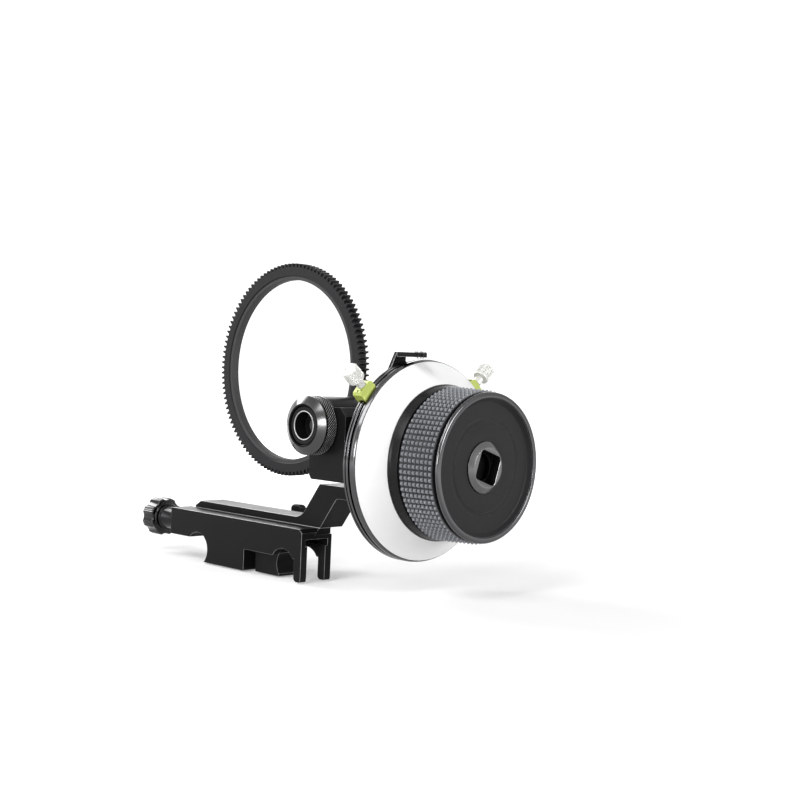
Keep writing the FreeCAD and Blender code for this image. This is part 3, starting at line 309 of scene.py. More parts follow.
def makeFinish(name, look, lathe=None, relief=None):
    # grain and turning lines feed the bump, handling marks the roughness, lighter edges (partly wear, partly
    # painted highlight) and the painted valley shade the colour
    look = plainFinish | look
    material = bpy.data.materials.new(name)
    material.use_nodes = True
    tree = material.node_tree
    where = newNode(tree, "TexCoord").outputs["Object"]
    grain = placeGroup(tree, "grain", where, Scale=look["scale"])
    height, marks = grain.outputs["Height"], grain.outputs["Marks"]
    if lathe is not None:
        lines = placeGroup(tree, "lathe", axisSpace(tree, where, lathe), Scale=lathe["scale"])
        ridges = mathNode(tree, "MULTIPLY", lines.outputs["Height"], lathe["share"])
        height = mathNode(tree, "ADD", height, ridges)
    bump = newNode(tree, "Bump", {"Strength": 1.0, "Distance": look["grain"] * mm, "Height": height})
    least = look["rough"] - plainFinish["smudge"] / 2
    rough = mathNode(tree, "MULTIPLY_ADD", marks, look["smudge"], least, clamp=True)
    colour = np.array(look["colour"])
    # lighter edges: partly real wear, partly a painted highlight on edges and on the grip's tips
    wornOrHighlit = np.minimum(colour * look["lift"] + wearAndHighlightLook["shade"], wearAndHighlightLook["palest"])
    if look["wearAndHighlight"] > 0:
        wornOrHighlitAt = placeGroup(tree, "wearAndHighlight", where, Gain=look["wearAndHighlight"] * wearAndHighlightLook["gain"]).outputs["Edge"]
    else:
        wornOrHighlitAt = mathNode(tree, "MULTIPLY", marks, wearAndHighlightLook["marked"])
    colour = blendColours(tree, wornOrHighlitAt, colour, wornOrHighlit)
    # painted shade: the colour goes from the finish's own at the tips down to a dark valley colour, by height
    # alone
    if relief is not None:
        raised = placeGroup(tree, "relief", axisSpace(tree, where, relief), Low=relief["low"] * mm,
                            Rise=relief["rise"] * mm, Slope=relief["slope"])
        colour = blendColours(tree, raised.outputs["Raised"], relief["valley"], colour)
    setInputs(tree, tree.nodes["Principled BSDF"], {
        "Base Color": colour, "Roughness": rough, "Normal": bump.outputs[0], "Metallic": look["metal"],
        "Specular IOR Level": look["gloss"]})
    return material


def specialFinish(name, base, lathe=None, relief=None, **changes):
    # one of the finishes above with some of its values changed
    return makeFinish(name, finishes[base] | changes, lathe, relief)


def latheAbout(centre, axis, share, scale=latheLook["scale"]):
    # puts a turned piece's axis on the X axis of the pattern's own space
    across, quarter = (centre[1], 0) if axis == "x" else (centre[0], math.pi / 2)
    return {"place": (0, -across * mm, -centre[2] * mm), "turned": (0, 0, quarter), "share": share,
            "scale": scale}


materials = {name: makeFinish(name, look) for name, look in finishes.items()}
slotOf = {part["node"]: part["material_slot"] for part in frame["record"]["subparts"]}
for name, thing in nodes.items():
    thing.data.materials.clear()
    thing.data.materials.append(materials[slotOf[name]])
print("finishes ready")


# surfaces

def roundCorners(corners, steps=4, closed=True):
    # (a, b, radius) corners; each radius becomes an arc tangent to the two sides that meet there
    path = []
    count = len(corners)
    for index, corner in enumerate(corners):
        point = np.array(corner[:2], float)
        radius = corner[2] if len(corner) > 2 else 0
        if radius == 0 or (not closed and index in (0, count - 1)):
            path.append(point)
            continue
        before = np.array(corners[index - 1][:2], float) - point
        after = np.array(corners[(index + 1) % count][:2], float) - point
        before /= np.linalg.norm(before)
        after /= np.linalg.norm(after)
        half = math.acos(np.clip(before @ after, -1, 1)) / 2
        centre = point + (before + after) / np.linalg.norm(before + after) * radius / math.sin(half)
        start = point + before * radius / math.tan(half) - centre
        end = point + after * radius / math.tan(half) - centre
        share = np.linspace(0, 1, steps + 1)[:, None]
        spread = math.pi - 2 * half
        arc = (np.sin((1 - share) * spread) * start + np.sin(share * spread) * end) / math.sin(spread)
        path.extend(centre + arc)
    return np.array(path)


def gridFaces(rows, columns, wrapRows, wrapColumns):
    # quads between neighbouring rows and columns, with the last joined to the first where it wraps
    rowCount = rows if wrapRows else rows - 1
    columnCount = columns if wrapColumns else columns - 1
    row = np.arange(rowCount)[:, None]
    column = np.arange(columnCount)[None, :]
    nextRow = (row + 1) % rows
    nextColumn = (column + 1) % columns
    quads = np.stack([row * columns + column, nextRow * columns + column,
                      nextRow * columns + nextColumn, row * columns + nextColumn], -1)
    return quads.reshape(-1, 4)


def outward(points, quads):
    # the signed volume of the closed surface tells which way its faces point
    corner = points[quads]
    volume = np.einsum("ij,ij->i", corner[:, 0], np.cross(corner[:, 1], corner[:, 2])).sum()
    volume += np.einsum("ij,ij->i", corner[:, 0], np.cross(corner[:, 2], corner[:, 3])).sum()
    return quads if volume > 0 else quads[:, ::-1]


# metres
weldGap = 1e-7


def newPiece(name, parts, body, slot, stands=(), sharp=30, material=None, weld=False):
    # one object from (points in mm, quads) parts, riding on its body
    points = []
    quads = []
    start = 0
    for partPoints, partQuads in parts:
        partPoints = partPoints.reshape(-1, 3)
        points.append(partPoints)
        quads.append(outward(partPoints, partQuads) + start)
        start += len(partPoints)
    points = np.concatenate(points) * mm
    quads = np.concatenate(quads)
    mesh = bpy.data.meshes.new(name)
    mesh.vertices.add(len(points))
    mesh.vertices.foreach_set("co", points.astype(np.float32).ravel())
    mesh.loops.add(quads.size)
    mesh.loops.foreach_set("vertex_index", quads.astype(np.int32).ravel())
    mesh.polygons.add(len(quads))
    mesh.polygons.foreach_set("loop_start", np.arange(0, quads.size, 4, dtype=np.int32))
    mesh.update(calc_edges=True)
    if weld:
        work = bmesh.new()
        work.from_mesh(mesh)
        bmesh.ops.remove_doubles(work, verts=work.verts, dist=weldGap)
        work.to_mesh(mesh)
        work.free()
    mesh.validate()
    mesh.shade_smooth()
    mesh.set_sharp_from_angle(angle=math.radians(sharp))
    mesh.materials.append(material or materials[slot])
    piece = newObject(name, mesh)
    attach(piece, body)
    if stands:
        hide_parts(*stands)
    return piece


def aroundAxis(axis, centre, along, radius, angle):
    # points at a place along the axis, a distance from it and an angle from straight up
    along = along + 0 * angle
    sideways = radius * np.sin(angle)
    up = centre[2] + radius * np.cos(angle)
    if axis == "x":
        return np.stack([along, centre[1] + sideways, up], -1)
    return np.stack([centre[0] + sideways, along, up], -1)


def turned(axis, centre, profile, angles, relief=None, closed=True):
    # each profile point (along, radius) goes round the axis; relief(along, angle) is added to the radius
    along = profile[:, 0][:, None]
    radius = profile[:, 1][:, None]
    angle = angles[None, :]
    if relief is not None:
        radius = radius + relief(along, angle, radius)
    points = aroundAxis(axis, centre, along, radius, angle)
    return points, gridFaces(len(profile), len(angles), closed, True)


def evenAngles(count):
    return np.arange(count) * turn / count


def turnedPiece(name, axis, centre, corners, steps, look, body, slot, stands=(), **rest):
    # a closed outline of corners, taken right round the axis in as many segments as its look says
    part = turned(axis, centre, roundCorners(corners, steps), evenAngles(look["segments"]))
    newPiece(name, [part], body, slot, stands, **rest)


edgeLook = {"merge": 0.002, "flat": 1.5, "limit": 32, "segments": 3}


def softened(name, width, edge=None):
    # a merged copy of a frame node: flat faces joined, edges rounded and in a finish of their own if given
    source = nodes[name]
    mesh = source.data.copy()
    work = bmesh.new()
    work.from_mesh(mesh)
    flat, limit = (math.radians(edgeLook[key]) for key in ("flat", "limit"))
    bmesh.ops.remove_doubles(work, verts=work.verts, dist=edgeLook["merge"] * mm)
    bmesh.ops.dissolve_limit(work, angle_limit=flat, verts=work.verts, edges=work.edges)
    work.to_mesh(mesh)
    work.free()
    mesh.shade_smooth()
    mesh.set_sharp_from_angle(angle=limit)
    piece = newObject(name + "Body", mesh)
    bevel = piece.modifiers.new("edges", "BEVEL")
    bevel.width = width * mm
    if edge is not None:
        mesh.materials.append(edge)
        bevel.material = 1
    bevel.segments = edgeLook["segments"]
    bevel.limit_method = "ANGLE"
    bevel.angle_limit = limit
    bevel.use_clamp_overlap = True
    bevel.harden_normals = True
    bevel.miter_outer = "MITER_ARC"
    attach(piece, source["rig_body"])
    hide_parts(name)
    return piece


# hand wheel

discLook = {"segments": 288, "rim": 0.35, "lip": 0.2, "front": 32.7, "wall": 2.4, "land": 1.4, "seat": 2.0,
            "seatWall": 3.8, "bore": 3.2}


def makeDisc():
    # a cone from the rim of the back plate in to the flange
    back, front, _, outer = spanAbout("marking_disc", wheelCentre)
    lip = discLook["lip"]
    mouth = discLook["front"] - discLook["wall"]
    bore = mouth + discLook["bore"]
    seat = back + discLook["seat"]
    corners = [(back, outer, discLook["rim"]), (front, discLook["front"], lip), (front, mouth, lip / 2),
               (front - discLook["land"], mouth), (seat, outer - discLook["seatWall"]), (seat, bore),
               (back, bore)]
    turnedPiece("markingDisc", "x", wheelCentre, corners, 5, discLook, "hand_wheel", "white_disc",
                ["marking_disc"])


# line and groove: start, width, depth and edge; chamfer: width, drop and its two edges
plateLook = {"segments": 320, "rimWide": 6.2, "rimDeep": 5.0, "hub": 12.0, "web": 3.2, "edge": 0.4,
             "fillet": 0.8, "rim": 0.35, "line": (1.1, 0.6, 0.8, 0.12), "groove": (2.9, 1.1, 1.8, 0.18),
             "foot": 0.1, "chamfer": (1.1, 0.5, 0.2, 0.15)}


def makePlate():
    # rim with a fine line, the stops' groove and a chamfer beside the disc, on a thin web and a hub
    left, right, bore, outer = spanAbout("back_plate", wheelCentre)
    front = spanAbout("marking_disc", wheelCentre)[0]
    back = front - plateLook["rimWide"]
    web = front - plateLook["web"]
    hub, edge, fillet, foot = (plateLook[key] for key in ("hub", "edge", "fillet", "foot"))
    under = outer - plateLook["rimDeep"]
    cuts = []
    for start, width, deep, brim in (plateLook["line"], plateLook["groove"]):
        start = back + start
        cuts += [(start, outer, brim), (start, outer - deep, foot), (start + width, outer - deep, foot),
                 (start + width, outer, brim)]
    wide, drop, upper, lower = plateLook["chamfer"]
    corners = [(left, bore), (left, hub, edge), (web, hub, fillet), (web, under, fillet), (back, under, edge),
               (back, outer, plateLook["rim"]), *cuts, (front - wide, outer, upper),
               (front, outer - drop, lower), (front, hub), (right, hub), (right, bore)]
    turnedPiece("backPlate", "x", wheelCentre, corners, 4, plateLook, "hand_wheel",
                "black_anodised", ["back_plate"], material=rimBlack)


# valley and tip are shares of a cell
gripLook = {"rings": 8, "rows": 82, "deep": 1.05, "valley": 0.07, "tip": 0.13, "taper": 0.7, "valleyTo": 0.05,
            "tipFrom": 0.55}


def edgePairs(count, margin):
    # two stations for each of count equal cells, a margin in from either side, as shares of the whole
    return ((np.arange(count)[:, None] + np.array([margin, 1 - margin])[None, :]) / count).ravel()


def makeGrip():
    # a tapered sleeve of four-sided pyramids: each cell of the floor grid carries four slopes and a flat tip
    back, front, bore, outer = spanAbout("grip_sleeve", wheelCentre)
    rings, rows, deep = gripLook["rings"], gripLook["rows"], gripLook["deep"]

    def ringOf(share, angle, sink):
        radius = outer - gripLook["taper"] * share - sink
        return aroundAxis("x", wheelCentre, back + share * (front - back), radius, angle)

    valley = gripLook["valley"]
    low = np.concatenate([[0.0], edgePairs(rings, valley), [1.0]])[:, None]
    lowTurn = edgePairs(rows, valley)[None, :] * turn
    inset = (1 - gripLook["tip"]) / 2
    high = edgePairs(rings, inset)[:, None]
    highTurn = edgePairs(rows, inset)[None, :] * turn
    floor = ringOf(low, lowTurn, deep)
    tips = ringOf(high, highTurn, 0.0)
    ends = np.array([[1.0], [0.0]])
    hidden = ringOf(ends, lowTurn, outer - gripLook["taper"] * ends - bore)
    points = np.concatenate([piece.reshape(-1, 3) for piece in (floor, hidden, tips)])
    columns = 2 * rows
    shell = len(low) + len(ends)
    quads = gridFaces(shell, columns, True, True)
    ring, row = np.divmod(np.arange(rings * rows), rows)
    floorAt = (2 * ring + 1) * columns + 2 * row
    tipAt = shell * columns + 2 * ring * columns + 2 * row
    corner = np.array([0, columns, columns + 1, 1])
    under = floorAt[:, None] + corner
    above = tipAt[:, None] + corner
    covered = np.isin(quads[:, 0], floorAt)
    sides = ((0, 1), (1, 2), (2, 3), (3, 0))
    slopes = [np.stack([under[:, i], under[:, j], above[:, j], above[:, i]], -1) for i, j in sides]
    quads = np.concatenate([quads[~covered], above, *slopes])
    newPiece("gripSleeve", [(points, quads)], "hand_wheel", "grip_rubber", ["grip_sleeve"], sharp=12,
             material=gripRubber)


flangeLook = {"segments": 256, "rim": 0.8, "bevel": (0.7, 0.5), "taper": 1.3, "neck": 2.3, "floor": 3.6,
              "wall": 2.4, "step": 1.0, "rimEdge": 0.25, "line": 0.12, "frontEdge": 0.3, "tubeEdge": 0.2}


def makeFlange():
    # the black ring between the disc and the grip, with the tube that the grip sits on
    left, right, bore, outer = spanAbout("wheel_flange", wheelCentre)
    gripLeft, _, seat, _ = spanAbout("grip_sleeve", wheelCentre)
    rim = left + flangeLook["rim"]
    wide, drop = flangeLook["bevel"]
    front = gripLeft - flangeLook["step"]
    neck = outer - flangeLook["neck"]
    floor = left + flangeLook["floor"]
    inside = seat - flangeLook["wall"]
    line, tube = flangeLook["line"], flangeLook["tubeEdge"]
    corners = [(left, bore), (left, outer, flangeLook["rimEdge"]), (rim, outer, line),
               (rim + wide, outer - drop, line),
               (front, outer - flangeLook["taper"], flangeLook["frontEdge"]), (front, neck, line),
               (gripLeft, neck), (gripLeft, seat), (right, seat, tube), (right, inside, tube),
               (floor, inside), (floor, bore)]
    turnedPiece("wheelFlange", "x", wheelCentre, corners, 4, flangeLook, "hand_wheel",
                "black_anodised", ["wheel_flange"], material=turnedBlack)


# neck: width and depth; ring: outer and inner radius, depth and slope; seat: radius and depth
capLook = {"segments": 256, "neck": (1.6, 1.2), "lip": 2.4, "slope": 1.8, "recess": 2.2, "hollow": 0.9,
           "ring": (20.3, 18.5, 0.25, 0.15), "seat": (10.9, 0.5), "joint": 0.6, "plugGap": 0.04,
           "plugEdge": 0.3, "neckEdge": 0.12, "backEdge": 0.6, "frontEdge": 0.9, "lipEdge": 0.4}


def makeCap():
    # end cap: a polished rim round a sunk, grained face that has one fine turned ring
    left, right, bore, outer = spanAbout("end_cap", wheelCentre)
    _, start, gripSeat, _ = spanAbout("grip_sleeve", wheelCentre)
    floor = right - capLook["recess"]
    lip = outer - capLook["lip"]
    neckWide, neckDeep = capLook["neck"]
    neck = outer - neckDeep
    neckEnd = start + neckWide
    plug = gripSeat - flangeLook["wall"] - capLook["plugGap"]
    ringOut, ringIn, ringDeep, ringSlope = capLook["ring"]
    seat, seatDeep = capLook["seat"]
    joint = right - capLook["joint"]
    ring = [(floor, ringOut, 0.08), (floor - ringDeep, ringOut - ringSlope, 0.06),
            (floor - ringDeep, ringIn + ringSlope, 0.06), (floor, ringIn, 0.08)]
    corners = [(left, bore), (left, plug, capLook["plugEdge"]), (start, plug), (start, lip), (joint, lip),
               (floor, lip - capLook["slope"], capLook["hollow"]), *ring, (floor, seat, 0.15),
               (floor - seatDeep, seat), (floor - seatDeep, bore)]
    turnedPiece("endCap", "x", wheelCentre, corners, 5, capLook, "hand_wheel", "black_anodised",
                ["end_cap"], material=capBlack)
    corners = [(start, lip), (start, neck, capLook["neckEdge"]), (neckEnd, neck, capLook["neckEdge"]),
               (neckEnd, outer, capLook["backEdge"]), (right, outer, capLook["frontEdge"]),
               (right, lip, capLook["lipEdge"])]
    turnedPiece("capRim", "x", wheelCentre, corners, 6, capLook, "hand_wheel", "black_anodised",
                material=rimBlack)


# turned: the square's angle in degrees; wall: how far the boss stands out from its sleeve
# mouth: how deep and how much wider than the square each step of its rounded edge is
socketLook = {"square": 12.4, "corner": 1.7, "turned": 18.0, "deep": 4.4,
              "mouth": ((0.0, 0.16), (0.05, 0.05), (0.16, 0.0)), "bore": 6.0, "boreDeep": 2.6,
              "boreStep": 0.08, "bevel": 2.2, "side": 0.35, "wall": 1.02, "inner": 4.0, "centre": 0.4,
              "segments": 288}


def squareReach(angle, half, corner):
    # distance from the middle to a rounded square's outline, by angle
    c = np.abs(np.cos(angle))
    s = np.abs(np.sin(angle))
    flat = half / np.maximum(c, s)
    middle = half - corner
    b = middle * (c + s)
    rounded = b + np.sqrt(np.maximum(b * b - 2 * middle * middle + corner * corner, 0))
    return np.where(np.minimum(c, s) * flat > middle, rounded, flat)


def makeCrankSocket():
    # boss with a wide chamfer whose face blends into a rounded square hole, and a round bore below it; the
    # hole and bore in painted shade, near black
    left, face, _, outer = spanAbout("crank_socket", wheelCentre)
    floor = spanAbout("end_cap", wheelCentre)[1] - capLook["recess"]
    seat = floor - capLook["seat"][1]
    sleeve = outer - socketLook["wall"]
    shoulder = outer - socketLook["bevel"]
    ledge = face - socketLook["deep"]
    bottom = ledge - socketLook["boreDeep"]
    bore, inner, centre = socketLook["bore"], socketLook["inner"], socketLook["centre"]
    well = bore - socketLook["boreStep"]
    angles = evenAngles(socketLook["segments"])
    heading = angles - math.radians(socketLook["turned"])
    square = squareReach(heading, socketLook["square"] / 2, socketLook["corner"])
    rim = roundCorners([(left, inner), (left, sleeve), (seat, sleeve), (seat, outer),
                        (floor + socketLook["side"], outer, 0.15), (face, shoulder, 0.2),
                        (face, shoulder - 0.3)], 4, closed=False)
    mouth = [(face - sink, square + grow) for sink, grow in socketLook["mouth"]]
    rows = [*rim[:-1], *mouth, (ledge + 0.05, square), (ledge, square - 0.05), (ledge, bore),
            (ledge - 0.1, well), (bottom, well), (bottom, centre), (bottom - 1.0, centre),
            (bottom - 1.0, inner)]
    points = np.stack([aroundAxis("x", wheelCentre, along, radius, angles) for along, radius in rows])
    boss = (points, gridFaces(len(rows), len(angles), True, True))
    piece = newPiece("crankSocket", [boss], "hand_wheel", "steel", ["crank_socket"], material=bossBlack)
    # the faces inside the hole take the painted shade
    inside = np.zeros(len(piece.data.polygons), np.int32)
    inside[len(rim) * len(angles):] = 1
    piece.data.materials.append(holeShade)
    piece.data.polygons.foreach_set("material_index", inside)


# wheel materials with turning lines

turnedBlack = specialFinish("turnedBlack", "black_anodised", latheAbout(wheelCentre, "x", 0.8),
                            rough=0.26, gloss=0.16, grain=0.006)
rimBlack = specialFinish("rimBlack", "black_polished", latheAbout(wheelCentre, "x", 0.6),
                         colour=(0.085, 0.085, 0.087), rough=0.14)
capBlack = specialFinish("capBlack", "black_anodised", colour=(0.009, 0.0092, 0.0098), grain=0.03, gloss=0.14,
                         smudge=0.2, scale=2400.0)
bossBlack = specialFinish("bossBlack", "black_polished", latheAbout(wheelCentre, "x", 1.0),
                          colour=(0.13, 0.13, 0.13), rough=0.24)
# painted shade: near black for the inside of the crank socket's hole and bore
holeShade = specialFinish("holeShade", "black_anodised", colour=(0.004, 0.004, 0.004), gloss=0.12,
                          grain=0.002)
gripStart, gripEnd, _, gripOuter = spanAbout("grip_sleeve", wheelCentre)
gripSlope = gripLook["taper"] / (gripEnd - gripStart)
gripFloor = gripOuter + gripSlope * gripStart - gripLook["deep"]
# painted shade: the grip's valleys go near black, and the pyramid tips keep the rubber's colour
gripValleyShade = latheAbout(wheelCentre, "x", 0) | {
    "low": gripFloor + gripLook["deep"] * gripLook["valleyTo"],
    "rise": gripLook["deep"] * (gripLook["tipFrom"] - gripLook["valleyTo"]),
    "slope": gripSlope, "valley": (0.010, 0.011, 0.013)}
gripRubber = specialFinish("gripRubber", "grip_rubber", relief=gripValleyShade)

makeDisc()
makePlate()
makeGrip()
makeFlange()
makeCap()
makeCrankSocket()
print("hand wheel ready")


# output socket and lock ring

collarLook = {"segments": 288, "bore": 7.95, "boreEdge": (0.5, 0.3), "nose": 9.0, "noseEdge": 0.3,
              "cone": 1.9, "coneEdge": (0.45, 0.1), "grooveDeep": 0.5, "seat": 0.8, "band": 3.1, "edge": 0.8}
bandLook = {"segments": 672, "stations": 29, "knurls": 66, "deep": 0.4, "lead": 0.62, "lap": 0.05,
            "wall": 1.0, "nick": 0.6}


def collarSize():
    # the lock ring's front, back and outer radius, then the two ends of its knurled band
    low, high = reach("lock_collar")
    front, back = low[1], high[1]
    return front, back, (high[2] - low[2]) / 2, front + collarLook["band"], back - collarLook["edge"]


def knurlRidge(turns, lean):
    # a triangle wave from 0 to 1 that runs round the axis and leans along it
    return np.abs(((turns + lean) % 1.0) * 2 - 1)


def makeCollar():
    # nose in painted shade, polished cone, a groove and the seat of the knurled band
    front, back, outer, start, end = collarSize()
    bore, nose = collarLook["bore"], collarLook["nose"]
    inset, widen = collarLook["boreEdge"]
    cone = front + collarLook["cone"]
    land, slope = collarLook["coneEdge"]
    groove = outer - collarLook["grooveDeep"]
    seat = outer - collarLook["seat"]
    corners = [(front + inset, bore), (front, bore + widen, 0.15), (front, nose, collarLook["noseEdge"]),
               (cone, outer, 0.2), (cone + land, outer, 0.15), (cone + land + slope, groove, 0.1),
               (start, groove), (start, seat), (end, seat), (end, outer, 0.1), (back, outer, 0.3),
               (back, bore)]
    turnedPiece("lockCollar", "y", driveCentre, corners, 4, collarLook, "collar",
                "black_polished", ["lock_collar"], sharp=40, material=collarBlack)


def makeBand():
    # the band between: helical ridges, nicked by shallower ones of the other hand
    _, _, outer, start, end = collarSize()
    lap, inside = bandLook["lap"], outer - bandLook["wall"]
    band = np.linspace(start - lap, end + lap, bandLook["stations"])
    valley = np.full(len(band), outer - bandLook["deep"])
    rows = np.vstack([[(band[0], inside)], np.column_stack([band, valley]), [(band[-1], inside)]])

    def crossed(along, angle, radius):
        lean = (along - start) / bandLook["lead"] / 2
        turns = angle * bandLook["knurls"] / turn
        nick = bandLook["nick"] + (1 - bandLook["nick"]) * knurlRidge(turns, -lean)
        return knurlRidge(turns, lean) * nick * bandLook["deep"] * (radius > inside)

    part = turned("y", driveCentre, rows, evenAngles(bandLook["segments"]), crossed)
    newPiece("collarBand", [part], "collar", "black_polished", sharp=40, material=collarKnurl)


# lip: width, depth inside and how far it stands out
outletLook = {"segments": 160, "bore": 5.6, "floor": 1.6, "hole": 3.0, "mouthEdge": 0.3, "floorEdge": 0.2,
              "chamfer": 0.3, "lip": (0.5, 0.5, 0.06), "lipEdge": 0.2}


def makeOutlet():
    # the socket inside the lock ring: a blind hole in painted shade, near black, with a stepped floor and a
    # bright lip
    low, high = reach("output_socket")
    outer = (high[2] - low[2]) / 2
    front, back = low[1], high[1]
    bore, hole, chamfer = outletLook["bore"], outletLook["hole"], outletLook["chamfer"]
    bottom = back - outletLook["floor"]
    corners = [(front, bore, outletLook["mouthEdge"]), (front, outer - chamfer), (front + chamfer, outer),
               (back, outer), (back, hole), (bottom, hole), (bottom, bore, outletLook["floorEdge"])]
    turnedPiece("outputSocket", "y", driveCentre, corners, 4, outletLook, "drive", "steel",
                ["output_socket"], material=outletShade)
    wide, deep, proud = outletLook["lip"]
    edge = outletLook["lipEdge"]
    lip = [(front - proud, bore, edge), (front - proud, bore + wide, edge), (front + deep, bore + wide),
           (front + deep, bore)]
    turnedPiece("outputLip", "y", driveCentre, lip, 4, outletLook, "drive", "steel")


collarOuter = spanAbout("lock_collar", driveCentre, (0, 1, 0))[3]
collarLathe = latheAbout(driveCentre, "y", 1.0, 1800.0)
# near black that stands in for shade in hollows
paintedShadeBlack = (0.005, 0.005, 0.005)
# painted shade: inside the nose the collar goes near black, and in the knurled band the grooves go near black
noseShade = collarLathe | {"low": collarLook["nose"] - 0.2, "rise": 0.2, "slope": 0.0, "valley": paintedShadeBlack}
knurlValleyShade = collarLathe | {"low": collarOuter - bandLook["deep"] * 0.5, "rise": bandLook["deep"] * 0.25,
                             "slope": 0.0, "valley": paintedShadeBlack}
collarBlack = specialFinish("collarBlack", "black_polished", collarLathe, noseShade,
                            colour=(0.07, 0.07, 0.071))
collarKnurl = specialFinish("collarKnurl", "black_polished", relief=knurlValleyShade, colour=(0.30, 0.30, 0.30),
                            rough=0.36)
# painted shade: the whole output socket near black, as its hole lies in shade
outletShade = specialFinish("outletShade", "black_anodised", colour=paintedShadeBlack, gloss=0.1, grain=0.002)
makeCollar()
makeBand()
makeOutlet()
print("output side ready")


# clamp knob

# dish: inner and outer radius, bevel and depth of the sunk face; collar: width round the neck, height, edge
knobLook = {"lobes": 8, "scallop": 4.2, "seat": 3.3, "segments": 640, "edge": 0.7, "ribs": 3, "ribDeep": 0.24,
            "lean": 0.9, "dish": (5.2, 6.7, 0.3, 0.35), "collar": (0.8, 0.8, 0.2), "fade": 1.0}


def makeKnob():
    # lobed head: the radius is cut back inside each scallop circle, and each land between carries fine ribs
    low, high = reach("knob_head")
    outer = (high[2] - low[2]) / 2
    edge = knobLook["edge"]
    neckLow, neckHigh = reach("knob_neck")
    neck = (neckHigh[2] - neckLow[2]) / 2
    pitch = turn / knobLook["lobes"]
    centre = outer + knobLook["seat"]
    scoop = knobLook["scallop"]
    proud, height, brim = knobLook["collar"]
    # the scoop ends where its circle meets the head's: cosine rule
    landStart = math.acos((centre ** 2 + outer ** 2 - scoop ** 2) / (2 * centre * outer))

    def scallops(along, angle, radius):
        offset = np.abs((angle + pitch / 2) % pitch - pitch / 2)
        across = centre * np.sin(offset)
        inside = np.maximum(scoop ** 2 - across ** 2, 0)
        wall = np.where(offset < landStart, centre * np.cos(offset) - np.sqrt(inside), outer)
        share = np.clip((offset - landStart) / (pitch / 2 - landStart), 0, 1) / 2
        ribs = np.where(offset < landStart, 0, 0.5 + 0.5 * np.cos(turn * knobLook["ribs"] * share))
        wall = wall - ribs * knobLook["ribDeep"] + (radius - outer) * knobLook["lean"]
        cut = np.minimum(radius, wall) - radius
        return cut * np.clip((radius - neck - proud) / knobLook["fade"], 0, 1)

    dishIn, dishOut, bevel, deep = knobLook["dish"]
    face, back = low[0], high[0]
    corners = [(face, 0.0), (face, dishIn), (face + deep, dishIn + bevel), (face + deep, dishOut - bevel),
               (face, dishOut), (face, outer, edge), (back - height, outer, edge),
               (back - height, neck + proud, brim), (back, neck + proud - brim, brim), (back, 0.0)]
    profile = roundCorners(corners, 5, closed=False)
    part = turned("x", knobCentre, profile, evenAngles(knobLook["segments"]), scallops, closed=False)
    newPiece("knobHead", [part], "clamp_knob", "black_polished", ["knob_head"], sharp=28, weld=True)


# step: where it starts and ends and how deep it is; waist and tail: distance from the clamp, radius and edge
neckLook = {"segments": 96, "step": (1.3, 1.7, 0.8), "edge": 0.2, "fillet": 0.3, "waist": (2.6, 4.6, 0.8),
            "tail": (0.5, 5.2, 0.3)}


def makeNeck():
    # stepped neck that narrows to a waist and flares against the clamp
    low, high = reach("knob_neck")
    outer = (high[2] - low[2]) / 2
    head, clamp = low[0], high[0]
    stepFrom, stepTo, stepDeep = neckLook["step"]
    waistAt, waist, waistEdge = neckLook["waist"]
    tailAt, tail, tailEdge = neckLook["tail"]
    edge = neckLook["edge"]
    corners = [(head, 0.0), (head, outer, edge), (head + stepFrom, outer, neckLook["fillet"]),
               (head + stepTo, outer - stepDeep, edge), (clamp - waistAt, waist, waistEdge),
               (clamp - tailAt, tail, tailEdge), (clamp, tail, edge), (clamp, 0.0)]
    profile = roundCorners(corners, 4, closed=False)
    part = turned("x", knobCentre, profile, evenAngles(neckLook["segments"]), closed=False)
    newPiece("knobNeck", [part], "clamp_knob", "black_polished", ["knob_neck"], weld=True, material=neckBlack)


neckBlack = specialFinish("neckBlack", "black_polished", colour=(0.025, 0.025, 0.026))
makeKnob()
makeNeck()
print("clamp knob ready")


# lens gear ring

# tooth: stations from root over the tip to root as shares of the pitch, with their shares of the height
ringLook = {"teeth": 119, "module": 0.8, "height": 2.2, "edge": 0.3, "toothEdge": 0.12, "land": 0.4,
            "tooth": ((-0.5, 0.0), (-0.34, 0.0), (-0.29, 0.08), (-0.20, 0.55), (-0.13, 0.94), (-0.10, 1.0),
                      (0.10, 1.0), (0.13, 0.94), (0.20, 0.55), (0.29, 0.08), (0.34, 0.0))}
linerLook = {"segments": 256, "inner": 0.3, "outer": 0.1}


def makeGearRing():
    # straight teeth right across a flat ring: the radius is root + (tip - root) * height, tooth by tooth
    front, back, bore, tip = spanAbout("lens_gear_ring", lensCentre, (0, 1, 0))
    root = tip - ringLook["height"] * ringLook["module"]
    away = math.atan2(driveCentre[0] - lensCentre[0], driveCentre[2] - lensCentre[2])
    teeth = ringLook["teeth"]
    share, height = np.array(ringLook["tooth"]).T
    angles = ((np.arange(teeth)[:, None] + share) * turn / teeth).ravel() + away
    outline = root + (tip - root) * np.tile(height, teeth)
    nick, edge, land = ringLook["toothEdge"], ringLook["edge"], root - ringLook["land"]
    rows = [(back, bore), (front + edge, bore), (front, bore + edge), (front, land), (front, outline - nick),
            (front + nick, outline), (back - nick, outline), (back, outline - nick), (back, land)]
    points = np.stack([aroundAxis("y", lensCentre, along, radius, angles) for along, radius in rows])
    ring = (points, gridFaces(len(rows), len(angles), True, True))
    newPiece("lensGearRing", [ring], "lens_ring", "ring_black", ["lens_gear_ring"], sharp=25)


